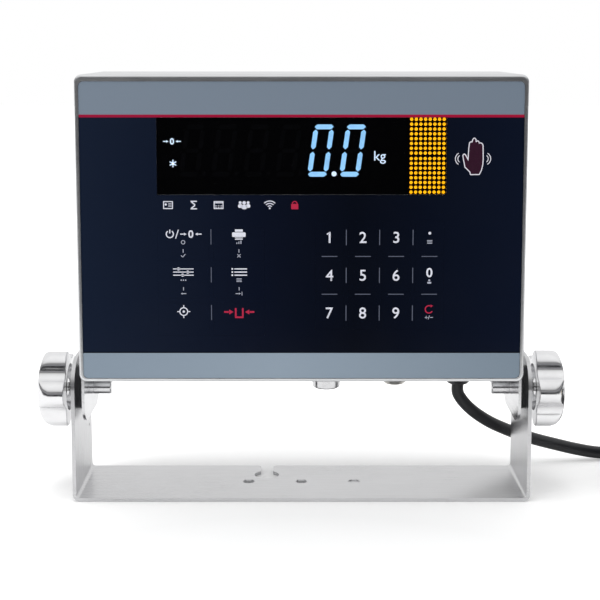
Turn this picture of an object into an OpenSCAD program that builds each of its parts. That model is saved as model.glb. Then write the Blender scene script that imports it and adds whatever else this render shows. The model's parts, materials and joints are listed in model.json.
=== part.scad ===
// Weighing indicator: a sheet steel housing with a printed front that tilts between
// the arms of a U-shaped desk or wall bracket and is locked by two star knobs.
// X runs to the right, Y to the back and Z up. The bracket stands on z = 0.

/* [Housing] */
// Width of the housing
body_w = 240; // [236:1:270]
// Height of the housing
body_h = 165.5; // [164:0.5:190]
// Depth of the housing from its front face to its back wall
body_d = 84; // [80:1:100]
// Thickness of the housing's sheet steel
sheet_t = 1.5; // [1.2:0.1:2]
// Radius of the housing's corners, seen from the front
corner_r = 4; // [3:0.5:6]
// Rounding of the bezel's front edge
face_round = 1.6; // [0.8:0.2:2]
// Outer radius of the bends round the back wall
back_round = 3; // [2:0.2:3.6]
// Depth of the front bezel from its face to the gasket
bezel_d = 5; // [4.8:0.2:8]
// Thickness of the gasket between the bezel and the rear housing
gasket_t = 1.2; // [0.8:0.1:2]
// Width of the rear housing's inward flange behind the gasket
flange_w = 6; // [5:0.5:7]
// Distance of the cover posts from the housing's outside
post_inset = 14; // [13:0.5:16]
// Diameter of a cover post
post_dia = 8; // [7:0.5:9]
// Thread diameter of a cover screw
screw_dia = 4; // [3:0.5:5]
// Diameter of a cover screw's head
screw_head_dia = 8; // [7:0.5:9]
// Height of a cover screw's head
screw_head_h = 3.2; // [2.4:0.2:4]
// Length of a cover screw's thread inside its post
screw_reach = 10; // [8:1:14]
// Thickness of the seal ring under a cover screw's head
screw_seal_t = 0.8; // [0.5:0.1:1]

/* [Front overlay] */
// Width of the steel rim beside the overlay
rim_side = 2.3; // [2:0.1:4]
// Width of the steel rim above the overlay
rim_top = 3.6; // [2:0.1:5]
// Width of the steel rim below the overlay
rim_bottom = 2.1; // [2:0.1:4]
// Thickness of the overlay
overlay_t = 1; // [0.8:0.1:1.4]
// How far the overlay lies behind the bezel's face
overlay_set = 0.3; // [0.1:0.1:0.6]
// Corner radius of the overlay
overlay_r = 2.7; // [2:0.1:4]
// Gap round the overlay in its recess
overlay_gap = 0.1; // [0.05:0.05:0.2]

/* [Display] */
// Distance of the display window from the housing's sides
window_in = 43.3; // [42:0.1:46]
// Width of the bar matrix beside it
matrix_w = 19.5; // [16:0.5:20]
// Gap between the digit display and the bar matrix
matrix_gap = 0.5; // [0.3:0.1:1]
// Height of the display window
window_h = 41; // [36:0.5:42]
// Distance of the window's upper edge below the housing's top
window_down = 22.7; // [21:0.1:24]
// Depth of the display modules behind the window
module_d = 7.6; // [6:0.2:9]
// Distance of the hand sensor's middle from the housing's side
sensor_in = 28.5; // [26:0.5:29]
// Width of the hand sensor's board
sensor_w = 20; // [16:1:20]
// Height of the hand sensor's board
sensor_h = 34; // [28:1:36]
// Diameter of the hand sensor's two lenses
sensor_lens_dia = 5; // [3:0.5:6]

/* [Keys] */
// Width of a number key
number_w = 15; // [13:0.5:15]
// Spacing of the number key columns
number_pitch = 17.8; // [17.8:0.1:18]
// Place of the first number key column, from the housing's middle
number_x = 15; // [14:0.5:16]
// Width of a function key
function_w = 27; // [22:0.5:27]
// Spacing of the function key columns
function_pitch = 29.8; // [29.6:0.1:30]
// Place of the first function key column, left of the housing's middle
function_x = 63.2; // [62:0.2:64]
// Gap between the key rows
row_gap = 3; // [2:0.5:6]
// Distance of the lowest number key's edge above the housing's bottom
number_up = 29.15; // [28:0.05:32]
// Distance of the highest number key's edge below the window
number_down = 14.15; // [10:0.05:16]
// How much lower the function key rows lie
function_drop = 3.5; // [2:0.5:4]
// Gap round a key in the overlay
key_gap = 0.15; // [0.1:0.05:0.25]
// Travel of a key when pressed
key_travel = 0.4; // [0.2:0.05:0.5]
// Diameter of the plunger behind a key
plunger_dia = 4; // [3:0.5:5]

/* [Bracket] */
// Thickness of the bracket's sheet steel
bracket_t = 2; // [1.6:0.1:3]
// Depth of the bracket, front edge to rear edge
bracket_d = 56.2; // [52:0.2:60]
// Outer radius of the bracket's bends
bend_r = 4; // [3.5:0.5:6]
// Corner radius of the arms' tops
arm_top_r = 16; // [8:0.5:20]
// Height of the arms' tops above the pivot
arm_head = 20.8; // [14:0.2:24]
// Height of the pivot above the table
pivot_z = 57.2; // [54:0.2:80]
// Distance of the pivot behind the housing's face
pivot_set = 32; // [30:0.5:36]
// Drop of the pivot below the housing's bottom
pivot_drop = 11; // [9:0.5:14]
// Diameter of the three base holes
base_hole_dia = 6; // [4:0.5:7]
// Spacing of the three base holes
base_hole_pitch = 30; // [26:1:34]
// Diameter of the keyhole's round part
keyhole_dia = 14; // [11:0.5:14]
// Width of the keyhole's slot, open to the rear edge
keyhole_slot_w = 7; // [5:0.5:8]
// Distance of the keyhole left of the bracket's middle
keyhole_x = 20; // [18:0.5:22]
// Distance of the keyhole's middle from the rear edge
keyhole_in = 16.7; // [14:0.1:17]
// Radius of the slot's rounded mouth
keyhole_mouth_r = 2.5; // [1:0.5:3]

/* [Pivot] */
// Thickness of the spacer disc between arm and lug
spacer_t = 3.4; // [2:0.1:5]
// Diameter of the spacer disc
spacer_dia = 24.4; // [18:0.2:28]
// Drop of a lug's lower edge below the pivot
lug_drop = 15; // [13:0.5:18]
// Reach of a lug in front of the pivot
lug_front = 25.4; // [20:0.2:25.4]
// Reach of a lug behind the pivot
lug_back = 28; // [22:0.5:32]
// Corner radius of a lug
lug_r = 12; // [6:0.5:14]
// Height of the lug's strip that is let into the side wall
lug_let_in = 5; // [4.5:0.5:10]
// Outer diameter of a pivot bush
bush_dia = 8; // [7:0.2:10]
// Length of a pivot bush inside its lug
bush_l = 12.8; // [11:0.2:16]
// Thickness of a pivot bush's closed end
bush_end = 2.3; // [1:0.1:3]
// Diameter of a knob's stud
stud_dia = 5; // [4:0.5:5.5]
// Radial clearance of the stud in the bush
stud_fit = 0.05; // [0.02:0.01:0.1]
// Radial clearance of the stud in the arm, spacer and washers
stud_clearance = 0.3; // [0.2:0.05:0.5]

/* [Knobs] */
// Radius of a knob over its lobes
knob_r = 22; // [20:0.5:24]
// Thickness of a knob
knob_h = 16.8; // [14:0.2:20]
// Rounding of a knob's outer edge
knob_round = 4.6; // [3:0.2:6]
// How far the right knob stands turned from the left one's place
knob_turn = 5; // [0:1:60]
// Number of lobes
knob_lobes = 5; // [5:1:6]
// Radius of one lobe
lobe_r = 7.5; // [7:0.1:8]
// Radius at the floor of a knob's flutes
flute_floor_r = 16.4; // [16:0.2:17]
// Radius of a flute
flute_r = 6; // [5.5:0.1:6.5]
// Radius of the recess in a knob's back
knob_recess_r = 13.5; // [11:0.5:14]
// Depth of the recess in a knob's back
knob_recess_d = 4; // [3:0.2:6]
// Diameter of a knob's hub and collar
collar_dia = 9.8; // [8:0.2:12]
// Length of the collar between arm and knob
collar_l = 5.4; // [4:0.2:6.4]
// Diameter of the spring washer
spring_washer_dia = 8.6; // [7.4:0.2:9.8]
// Thickness of the spring washer
spring_washer_t = 0.9; // [0.7:0.1:1.2]
// Free space between arm and knob rim
knob_space = 5.2; // [4.8:0.1:7]

/* [Glands] */
// Distance of the power and load cell glands' row behind the face
gland_set = 66; // [64:0.5:68]
// Distance of the power gland's middle from the housing's right side
power_gland_in = 27.5; // [27:0.5:30]
// Place of the load cell gland, right of the middle
cell_gland_x = 55; // [40:1:62]
// Place of the blanking plug, left of the middle
option_x = 55; // [40:1:80]
// Thread diameter of a gland
gland_thread_dia = 16; // [12:1:18]
// Width of a gland's hexagon across its corners
gland_hex_dia = 24; // [22:0.5:26]
// Height of a gland's hexagon
gland_hex_h = 5; // [4:0.5:7]
// Height of a gland's tapered cap
gland_cap_h = 12.5; // [8:0.5:14]
// Diameter of a gland's mouth
gland_mouth_dia = 13; // [12:0.5:14]
// Bore of the load cell gland for its cable
cell_bore_dia = 6.2; // [4:0.2:8]
// Thread length of a gland above the outside of the wall
gland_thread_l = 8; // [7:0.5:10]
// Height of a gland's inner nut
gland_nut_h = 4.5; // [3:0.5:5]
// Place of the vent plug, right of the middle
vent_x = 14; // [0:1:30]
// Distance of the vent plug behind the face
vent_set = 30; // [26:1:40]
// Diameter of the vent plug
vent_dia = 15.6; // [12:0.2:18]
// Height of the vent plug below the housing
vent_h = 10.4; // [6:0.2:12]
// Thread diameter of the vent plug
vent_thread_dia = 8; // [6:0.5:10]

/* [Boards] */
// Thickness of a circuit board
board_t = 1.6; // [1:0.2:2]
// How far the display board stands out beside the window
display_board_side = 3.3; // [3:0.1:4]
// How far the display board stands out above and below the window
display_board_edge = 7.5; // [6:0.5:8]
// Width of the keypad board
keypad_board_w = 164; // [162:1:166]
// How far the keypad board stands out above and below the keys
keypad_board_edge = 3; // [2.5:0.5:4]
// Height of a key's dome
dome_h = 0.6; // [0.4:0.05:0.8]
// Diameter of a key's dome
dome_dia = 8; // [7:0.5:10]
// Room below the main and power boards for the glands
gland_room = 16; // [15:1:20]
// Gap between the main board's top and the housing's top
board_top_gap = 12; // [8:1:20]
// Gap between the boards and the cover posts
board_side_gap = 4; // [2:0.5:8]
// Width of the power supply board
power_board_w = 82; // [70:1:86]
// Height of the power supply board
power_board_h = 86; // [70:1:100]
// Gap between the main board and the power supply board
board_split = 8; // [6:1:14]
// Length of the standoffs behind the main board
standoff_l = 8.9; // [6:0.1:12]
// Diameter of a standoff
standoff_dia = 5; // [4:0.5:5]
// Diameter of a small spacer behind the keypad
small_standoff_dia = 3.6; // [3:0.2:3.8]
// Distance of the standoffs from a board's edge
standoff_in = 5; // [4:0.5:8]
// Width of the transformer's core
core_w = 40; // [30:1:46]
// Height of the transformer's core
core_h = 34; // [26:1:40]
// Depth of the transformer's core
core_d = 24; // [18:1:30]
// How far the winding stands out of the core all round
winding_out = 5; // [3:0.5:6]
// Width of the ribbon cable
ribbon_w = 25; // [15:1:30]
// Thickness of the ribbon cable
ribbon_t = 0.9; // [0.6:0.1:1.2]
// Sag of the ribbon cable between the boards
ribbon_sag = 9; // [4:1:12]
// Height of a ribbon connector
connector_h = 6; // [4:0.5:8]

/* [Mains lead] */
// Diameter of the mains lead
cord_dia = 7.2; // [6:0.1:8]
// Distance between the middles of neighbouring turns of the coil
coil_pitch = 7.7; // [7.7:0.1:8.6]
// Radius of the coil's outermost turn
coil_r = 43; // [42:0.5:46]
// Number of layers in the coil
coil_layers = 4; // [2:2:4]
// Number of turns in each layer
coil_layer_turns = 1.75; // [1.75:1:2.75]
// Radius of the tail's bend towards the plug
tail_r = 29; // [28:0.5:32]
// Width of the plug
plug_w = 27; // [24:0.5:30]
// Thickness of the plug
plug_t = 24; // [18:0.5:24]
// Length of the plug's body
plug_l = 32; // [28:1:40]
// Length of the tapered sleeve on the plug
sleeve_l = 18; // [14:1:24]
// Length of the plug's pins
pin_l = 17.5; // [14:0.5:20]
// Spacing of the plug's two blades
blade_pitch = 12.7; // [11:0.1:14]
// Thickness of a blade
blade_t = 1.5; // [1.2:0.1:2]
// Width of a blade
blade_w = 6.3; // [5:0.1:7]
// Diameter of the earth pin
earth_dia = 4.8; // [4:0.1:5.4]
// Width of the tie round the coil
tie_w = 12; // [8:1:16]
// Thickness of the tie
tie_t = 0.8; // [0.6:0.1:1.2]

/* [Hidden] */
$fn = 64;
FUNCTION_KEYS = [["key_power", "key_print"], ["key_function", "key_menu"], ["key_target", "key_tare"]];
NUMBER_KEYS = [["key_1", "key_2", "key_3", "key_point"], ["key_4", "key_5", "key_6", "key_0"],
               ["key_7", "key_8", "key_9", "key_clear"]];

// One overrun serves all cuts
cut = 1;
// Clearance of screws and glands in their holes, on the radius
hole_gap = 0.1;
// Running gap between a spacer disc and its lug
spacer_gap = 0.1;

// Places along Y, measured back from the housing's face
total_d = body_d + screw_seal_t + screw_head_h;
face_y = -total_d / 2;
pivot_y = face_y + pivot_set;
overlay_back = overlay_set + overlay_t;
panel_back = overlay_back + sheet_t;
rear_start = bezel_d + gasket_t;
wall_inside = body_d - sheet_t;

// Places along Z
body_z = pivot_z + pivot_drop;
body_mid_z = body_z + body_h / 2;
window_z = body_z + body_h - window_down - window_h / 2;

// Overlay and window
overlay_w = body_w - 2 * rim_side;
overlay_h = body_h - rim_top - rim_bottom;
overlay_z = body_z + rim_bottom + overlay_h / 2;
window_w = body_w - 2 * window_in;
digits_w = window_w - matrix_gap - matrix_w;
sensor_x = body_w / 2 - sensor_in;

// Cover posts and screws: the four corners and the middle of each side
post_x = body_w / 2 - post_inset;
post_places = [for (side = [-1, 1]) for (level = [-1, 0, 1]) [side * post_x, body_mid_z + level * (body_h / 2 - post_inset)]];

// Bracket
arm_out = body_w / 2 + spacer_gap + spacer_t + bracket_t;
arm_in = arm_out - bracket_t;
arm_top = pivot_z + arm_head;
knob_back = arm_out + knob_space;
hub_start = arm_out + collar_l + spring_washer_t;
stud_tip = body_w / 2 - bush_l + bush_end;
stud_l = knob_back + knob_h - knob_round - stud_tip;
countersink_share = 1.27;
dimple_share = 0.3;

// Keys: three rows share the height that is left under the window
key_rows = 3;
keys_h = body_h - window_down - window_h - number_down - number_up;
key_h = (keys_h + row_gap) / key_rows - row_gap;
row_pitch = key_h + row_gap;
keypad_board_h = keys_h + function_drop + 2 * keypad_board_edge;
keypad_z = body_z + number_up + (keys_h - function_drop) / 2;
top_row_z = body_z + number_up + keys_h - key_h / 2;
dome_gap = key_travel + overlay_gap / 2;
plunger_end = panel_back + key_travel;
keypad_front = plunger_end + dome_gap + dome_h;
key_window = 0.2;

// Boards in the rear housing
board_front = wall_inside - standoff_l - board_t;
board_bottom = body_z + gland_room;
board_edge_x = post_x - post_dia / 2 - board_side_gap;
power_board_x = board_edge_x - power_board_w / 2;
main_board_w = 2 * board_edge_x - power_board_w - board_split;
main_board_x = -board_edge_x + main_board_w / 2;
main_board_h = body_h - gland_room - board_top_gap;
display_back = panel_back + module_d;
display_board_w = window_w + 2 * display_board_side;
display_board_h = window_h + 2 * display_board_edge;
ribbon_x = main_board_x;
ribbon_z = window_z - display_board_h / 4;

// Glands
power_gland_x = body_w / 2 - power_gland_in;

// Mains lead. Its free route starts at the power gland's mouth and ends at the coil.
cord_r = cord_dia / 2;
cord_sides = 10;
cord_route = [[92.5, 22, 50.7], [92.5, 22, 45.5], [94, 22.1, 42], [97, 22.4, 38], [101.5, 22.9, 33.6],
              [107, 23.6, 29.4], [113.5, 24.4, 25.4], [121, 25.3, 21.8], [130, 26.5, 18],
              [141, 28, 14.2], [153, 30, 10.6], [166, 32, 7], [180, 34, 4.2], [193, 35.5, 4.2],
              [206, 36, 4.5], [218, 36, 4.5]];

// Coil: layers spiral in and out by turns, and climb one layer in the half turn
// where the spiral reverses.
coil_x = 226;
coil_sides = 6;
coil_rings = 24;
coil_gap_floor = 0.1;
coil_y = cord_route[len(cord_route) - 1][1] - coil_r;
coil_z = cord_r + tie_t + coil_gap_floor;
coil_turns = coil_layers * coil_layer_turns;
climb_half_share = 0.25;
tail_rings = 8;

// Plug, lying on the coil with its tail bent in from the top turn
plug_gap = 0.3;
coil_top = coil_z + (coil_layers - 1) * coil_pitch + cord_r;
plug_z = coil_top + plug_gap + plug_t / 2;
plug_x = coil_x + tail_r;
plug_y = coil_y + coil_r - tail_r;
plug_round = 3;
sleeve_end_share = 0.62;
earth_drop_share = 0.94;
tie_gap = 0.4;

// Helpers

// A rectangle with round corners, centred
module rounded(w, h, r) {
    square([w - 2 * r, h], center = true);
    square([w, h - 2 * r], center = true);
    for (x = [-1, 1]) for (z = [-1, 1]) translate([x * (w / 2 - r), z * (h / 2 - r)]) circle(r);
}

// A flat piece parallel to the face: front at the given depth, t thick
module slab(x, depth, z, w, h, t, r) {
    translate([x, face_y + depth + t, z]) rotate([90, 0, 0]) linear_extrude(t) rounded(w, h, r);
}

// A square-cornered block parallel to the face
module block(x, depth, z, w, h, t) {
    translate([x - w / 2, face_y + depth, z - h / 2]) cube([w, t, h]);
}

// A round bar that runs back from the given depth
module bar(x, depth, z, dia, l) {
    translate([x, face_y + depth, z]) rotate([-90, 0, 0]) cylinder(d = dia, h = l);
}

// Children drawn once for a side: 1 is right and -1 is left
module on_side(side) {
    mirror([side < 0 ? 1 : 0, 0, 0]) children();
}

// A round bar along X from x0 to x1 on the pivot line, for the right side
module pivot_bar(x0, x1, dia) {
    translate([x0, pivot_y, pivot_z]) rotate([0, 90, 0]) cylinder(d = dia, h = x1 - x0);
}

// The place of a key: [x, z, width]
function function_place(row, column) =
    [-function_x + column * function_pitch, top_row_z - function_drop - row * row_pitch, function_w];
function number_place(row, column) =
    [number_x + column * number_pitch, top_row_z - row * row_pitch, number_w];
key_places = [for (row = [0:key_rows - 1]) each concat([for (column = [0:1]) function_place(row, column)],
                                            [for (column = [0:3]) number_place(row, column)])];

// A tube of the given number of sides along points that already lie on its line
function unit(v) = v / norm(v);
function tube_tangent(p, i) = unit(p[min(i + 1, len(p) - 1)] - p[max(i - 1, 0)]);
function tube_ring(centre, tangent, beside, r, sides) =
    let (u = unit(cross(tangent, beside)), v = cross(tangent, u))
    [for (k = [0:sides - 1]) centre + r * (cos(360 * k / sides) * u + sin(360 * k / sides) * v)];
module tube(p, r, sides, beside) {
    n = len(p);
    rings = [for (i = [0:n - 1]) each tube_ring(p[i], tube_tangent(p, i), beside, r, sides)];
    walls = [for (i = [0:n - 2]) for (k = [0:sides - 1])
        let (a = i * sides + k, b = i * sides + (k + 1) % sides)
        each [[a, b, b + sides], [a, b + sides, a + sides]]];
    first = [for (k = [1:sides - 2]) [0, k + 1, k]];
    end = (n - 1) * sides;
    last = [for (k = [1:sides - 2]) [end, end + k, end + k + 1]];
    polyhedron(rings, concat(walls, first, last));
}

// Bracket

// The bracket's U, seen from the front, up to height h
module bracket_section(h) {
    difference() {
        union() {
            translate([-arm_out, bend_r]) square([2 * arm_out, h - bend_r]);
            translate([bend_r - arm_out, 0]) square([2 * (arm_out - bend_r), bend_r]);
            for (x = [-1, 1]) translate([x * (arm_out - bend_r), bend_r]) circle(bend_r);
        }
        translate([-arm_in, bend_r]) square([2 * arm_in, h + cut]);
        translate([bend_r - arm_out, bracket_t]) square([2 * (arm_out - bend_r), bend_r]);
        for (x = [-1, 1]) translate([x * (arm_out - bend_r), bend_r]) circle(bend_r - bracket_t);
    }
}

// An arm's outline, seen from the side
module arm_outline() {
    square([bracket_d, arm_top - arm_top_r]);
    translate([arm_top_r, 0]) square([bracket_d - 2 * arm_top_r, arm_top]);
    for (y = [arm_top_r, bracket_d - arm_top_r]) translate([y, arm_top - arm_top_r]) circle(arm_top_r);
}

module mounting_bracket() {
    keyhole_y = pivot_y + bracket_d / 2 - keyhole_in;
    color("silver") difference() {
        intersection() {
            translate([0, pivot_y + bracket_d / 2, 0]) rotate([90, 0, 0])
                linear_extrude(bracket_d) bracket_section(arm_top);
            translate([-arm_out, pivot_y - bracket_d / 2, 0]) rotate([90, 0, 90])
                linear_extrude(2 * arm_out) arm_outline();
        }
        for (side = [-1, 1]) on_side(side)
            pivot_bar(arm_in - cut, arm_out + cut, stud_dia + 2 * stud_clearance);
        for (i = [-1:1]) translate([i * base_hole_pitch, pivot_y, 0]) {
            translate([0, 0, -cut]) cylinder(d = base_hole_dia, h = bracket_t + 2 * cut);
            translate([0, 0, bracket_t * (1 - dimple_share)])
                cylinder(d1 = base_hole_dia, d2 = base_hole_dia * countersink_share, h = bracket_t * dimple_share);
        }
        translate([-keyhole_x, keyhole_y, -cut]) {
            cylinder(d = keyhole_dia, h = bracket_t + 2 * cut);
            translate([-keyhole_slot_w / 2, 0, 0]) cube([keyhole_slot_w, keyhole_in + cut, bracket_t + 2 * cut]);
            translate([0, keyhole_in, 0]) linear_extrude(bracket_t + 2 * cut) slot_mouth();
        }
    }
}

// The flared mouth of the keyhole's slot at the rear edge
module slot_mouth() {
    half = keyhole_slot_w / 2 + keyhole_mouth_r;
    difference() {
        translate([-half, -keyhole_mouth_r]) square([2 * half, keyhole_mouth_r + cut]);
        for (x = [-half, half]) translate([x, -keyhole_mouth_r]) circle(keyhole_mouth_r);
    }
}

module spacer(side) {
    color("dimgray") on_side(side) difference() {
        pivot_bar(arm_in - spacer_t, arm_in, spacer_dia);
        pivot_bar(arm_in - spacer_t - cut, arm_in + cut, stud_dia + 2 * stud_clearance);
    }
}

// Collar and spring washer between an arm and its knob
module washers(side) {
    color("gainsboro") on_side(side) difference() {
        union() {
            pivot_bar(arm_out, arm_out + collar_l, collar_dia);
            pivot_bar(arm_out + collar_l, hub_start, spring_washer_dia);
        }
        pivot_bar(arm_out - cut, hub_start + cut, stud_dia + 2 * stud_clearance);
    }
}

// Knobs

// A knob's outline, with one lobe towards the front
module knob_outline() {
    step = 360 / knob_lobes;
    difference() {
        union() {
            circle(flute_floor_r + lobe_r / 5);
            for (i = [0:knob_lobes - 1]) rotate(i * step - 90) translate([knob_r - lobe_r, 0]) circle(lobe_r);
        }
        for (i = [0:knob_lobes - 1]) rotate((i + 1 / 2) * step - 90)
            translate([flute_floor_r + flute_r, 0]) circle(flute_r);
    }
}

// The profile that rounds a knob's outer edge, turned about its axis
module knob_profile() {
    square([knob_r + cut - knob_round, knob_h]);
    square([knob_r + cut, knob_h - knob_round]);
    translate([knob_r + cut - knob_round, knob_h - knob_round]) intersection() {
        circle(knob_round);
        square(knob_round);
    }
}

module knob(side, turn) {
    color("whitesmoke") on_side(side) difference() {
        translate([knob_back, pivot_y, pivot_z]) rotate([0, 90, 0]) rotate(-turn) {
            difference() {
                intersection() {
                    linear_extrude(knob_h) knob_outline();
                    rotate_extrude() knob_profile();
                }
                translate([0, 0, -cut]) cylinder(r = knob_recess_r, h = knob_recess_d + cut);
            }
            translate([0, 0, hub_start - knob_back])
                cylinder(d = collar_dia, h = knob_recess_d + cut - (hub_start - knob_back));
        }
        pivot_bar(hub_start - cut, stud_tip + stud_l, stud_dia);
    }
}

module knob_stud(side) {
    color("silver") on_side(side) pivot_bar(stud_tip, stud_tip + stud_l, stud_dia);
}

// Pivot lugs and bushes

// A lug's plate, grown by more at its top to cut its place out of the side wall
module lug_plate(more) {
    bottom = pivot_z - lug_drop;
    top = body_z + lug_let_in;
    translate([body_w / 2 - sheet_t, pivot_y - lug_front, 0]) rotate([90, 0, 90]) linear_extrude(sheet_t + more) {
        translate([0, bottom + lug_r]) square([lug_front + lug_back, top - bottom - lug_r]);
        translate([lug_r, bottom]) square([lug_front + lug_back - 2 * lug_r, lug_r]);
        for (y = [lug_r, lug_front + lug_back - lug_r]) translate([y, bottom + lug_r]) circle(lug_r);
    }
}

module pivot_lug(side) {
    color("silver") on_side(side) difference() {
        lug_plate(0);
        pivot_bar(body_w / 2 - sheet_t - cut, body_w / 2 + cut, bush_dia);
    }
}

module pivot_bush(side) {
    start = body_w / 2 - bush_l;
    color("gainsboro") on_side(side) difference() {
        pivot_bar(start, body_w / 2, bush_dia);
        pivot_bar(start + bush_end - stud_clearance, body_w / 2 + cut, stud_dia + 2 * stud_fit);
    }
}

// Housing

// A section w wide and t deep, with both edges rounded over at the end where y is 0
module eased_section(w, t, edge) {
    translate([-w / 2, edge]) square([w, t - edge]);
    translate([edge - w / 2, 0]) square([w - 2 * edge, edge]);
    for (x = [-1, 1]) translate([x * (w / 2 - edge), edge]) circle(edge);
}

// A block t deep on the pivot's middle plane, with round corners r and its near edge rounded over.
// It starts at y = 0 and runs to the back.
module eased_block(w, h, t, r, edge) {
    translate([0, 0, r - h / 2]) linear_extrude(h - 2 * r) eased_section(w, t, edge);
    translate([r - w / 2, 0, 0]) rotate([0, 90, 0]) linear_extrude(w - 2 * r) eased_section(h, t, edge);
    for (x = [-1, 1]) for (z = [-1, 1]) translate([x * (w / 2 - r), 0, z * (h / 2 - r)])
        rotate([-90, 0, 0]) rotate_extrude() intersection() {
            eased_section(2 * r, t, edge);
            square([r, t]);
        }
}

module front_bezel() {
    color("lightgray") difference() {
        translate([0, face_y, body_mid_z]) eased_block(body_w, body_h, bezel_d, corner_r, face_round);
        slab(0, -cut, overlay_z, overlay_w + 2 * overlay_gap, overlay_h + 2 * overlay_gap,
             overlay_back + cut, overlay_r + overlay_gap);
        slab(0, panel_back, body_mid_z, body_w - 2 * sheet_t, body_h - 2 * sheet_t, bezel_d, corner_r - sheet_t);
        block(0, 0, window_z, window_w + 2 * key_gap, window_h + 2 * key_gap, bezel_d);
        for (place = key_places)
            block(place[0], 0, place[1], place[2] + 2 * key_window, key_h + 2 * key_window, bezel_d);
        for (z = [-1, 1]) bar(sensor_x, 0, window_z + z * sensor_h / 4, sensor_lens_dia + 2 * key_window, bezel_d);
    }
}

// The gasket's inner edge lies over the rear housing's flange
module housing_gasket() {
    lip = sheet_t / 3;
    color("dimgray") difference() {
        slab(0, bezel_d, body_mid_z, body_w - 2 * lip, body_h - 2 * lip, gasket_t, corner_r - lip);
        slab(0, bezel_d - cut, body_mid_z, body_w - 2 * flange_w, body_h - 2 * flange_w, gasket_t + 2 * cut, lip);
    }
}

module rear_housing() {
    color("lightgray") difference() {
        translate([0, face_y + body_d, body_mid_z]) mirror([0, 1, 0])
            eased_block(body_w, body_h, body_d - rear_start, corner_r, back_round);
        translate([0, face_y + wall_inside, body_mid_z]) mirror([0, 1, 0])
            eased_block(body_w - 2 * sheet_t, body_h - 2 * sheet_t, wall_inside - rear_start - sheet_t,
                        corner_r - sheet_t, back_round - sheet_t);
        slab(0, rear_start - cut, body_mid_z, body_w - 2 * (flange_w + sheet_t), body_h - 2 * (flange_w + sheet_t),
             sheet_t + 2 * cut, sheet_t);
        for (side = [-1, 1]) on_side(side) lug_plate(cut);
        for (place = post_places) bar(place[0], wall_inside - cut, place[1], screw_dia + 2 * hole_gap, sheet_t + 2 * cut);
        for (x = [power_gland_x, cell_gland_x, -option_x])
            translate([x, face_y + gland_set, body_z - cut])
                cylinder(d = gland_thread_dia + 2 * hole_gap, h = sheet_t + 2 * cut);
        translate([vent_x, face_y + vent_set, body_z - cut])
            cylinder(d = vent_thread_dia + 2 * hole_gap, h = sheet_t + 2 * cut);
    }
}

// Posts welded to the bezel's panel that carry the rear housing's screws
module cover_posts() {
    color("silver") for (place = post_places) difference() {
        bar(place[0], panel_back, place[1], post_dia, wall_inside - panel_back);
        bar(place[0], wall_inside - screw_reach - cut, place[1], screw_dia + 2 * hole_gap, screw_reach + 2 * cut);
    }
}

module cover_screws() {
    color("gainsboro") for (place = post_places) difference() {
        union() {
            bar(place[0], wall_inside - screw_reach, place[1], screw_dia, screw_reach + sheet_t + screw_seal_t + cut);
            bar(place[0], body_d + screw_seal_t, place[1], screw_head_dia, screw_head_h);
        }
        bar(place[0], total_d - screw_head_h / 2, place[1], screw_dia, screw_head_h, $fn = 6);
    }
}

module screw_seals() {
    color("dimgray") for (place = post_places) difference() {
        bar(place[0], body_d, place[1], screw_head_dia, screw_seal_t);
        bar(place[0], body_d - cut, place[1], screw_dia + 2 * hole_gap, screw_seal_t + 2 * cut);
    }
}

// Front

module overlay_panel() {
    color("midnightblue") difference() {
        slab(0, overlay_set, overlay_z, overlay_w, overlay_h, overlay_t, overlay_r);
        block(0, 0, window_z, window_w + 2 * key_gap, window_h + 2 * key_gap, bezel_d);
        for (place = key_places) block(place[0], 0, place[1], place[2] + 2 * key_gap, key_h + 2 * key_gap, bezel_d);
    }
}

module display_window() {
    color("black") block(0, overlay_set, window_z, window_w, window_h, panel_back - overlay_set);
}

module digit_display() {
    color("darkslategray") block((digits_w - window_w) / 2, panel_back, window_z, digits_w, window_h, module_d);
}

module led_matrix() {
    color("orange") block((window_w - matrix_w) / 2, panel_back, window_z, matrix_w, window_h, module_d);
}

module key(place) {
    color("navy") {
        block(place[0], overlay_set, place[1], place[2], key_h, overlay_t);
        bar(place[0], overlay_back, place[1], plunger_dia, plunger_end - overlay_back);
    }
}

module function_key(row, column) {
    key(function_place(row, column));
}

module number_key(row, column) {
    key(number_place(row, column));
}

// Boards

module display_board() {
    color("darkgreen") {
        block(0, display_back, window_z, display_board_w, display_board_h, board_t);
        block(ribbon_x, display_back + board_t, ribbon_z, ribbon_w + standoff_in, connector_h, connector_h);
    }
}

module keypad_board() {
    color("darkgreen") block(0, keypad_front, keypad_z, keypad_board_w, keypad_board_h, board_t);
}

module key_domes() {
    color("silver") for (place = key_places)
        translate([place[0], face_y + keypad_front, place[1]]) rotate([90, 0, 0])
            cylinder(d1 = dome_dia, d2 = plunger_dia, h = dome_h);
}

// The hand sensor: two lenses in a black block on its own small board
module sensor_board() {
    wall = standoff_in / 2;
    color("darkgreen") {
        block(sensor_x, panel_back + board_t, window_z, sensor_w, sensor_h, board_t);
        block(sensor_x, panel_back, window_z, sensor_w - 2 * wall, sensor_h - 2 * wall, board_t);
        for (z = [-1, 1]) bar(sensor_x, overlay_back, window_z + z * sensor_h / 4, sensor_lens_dia, sheet_t);
    }
}

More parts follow.
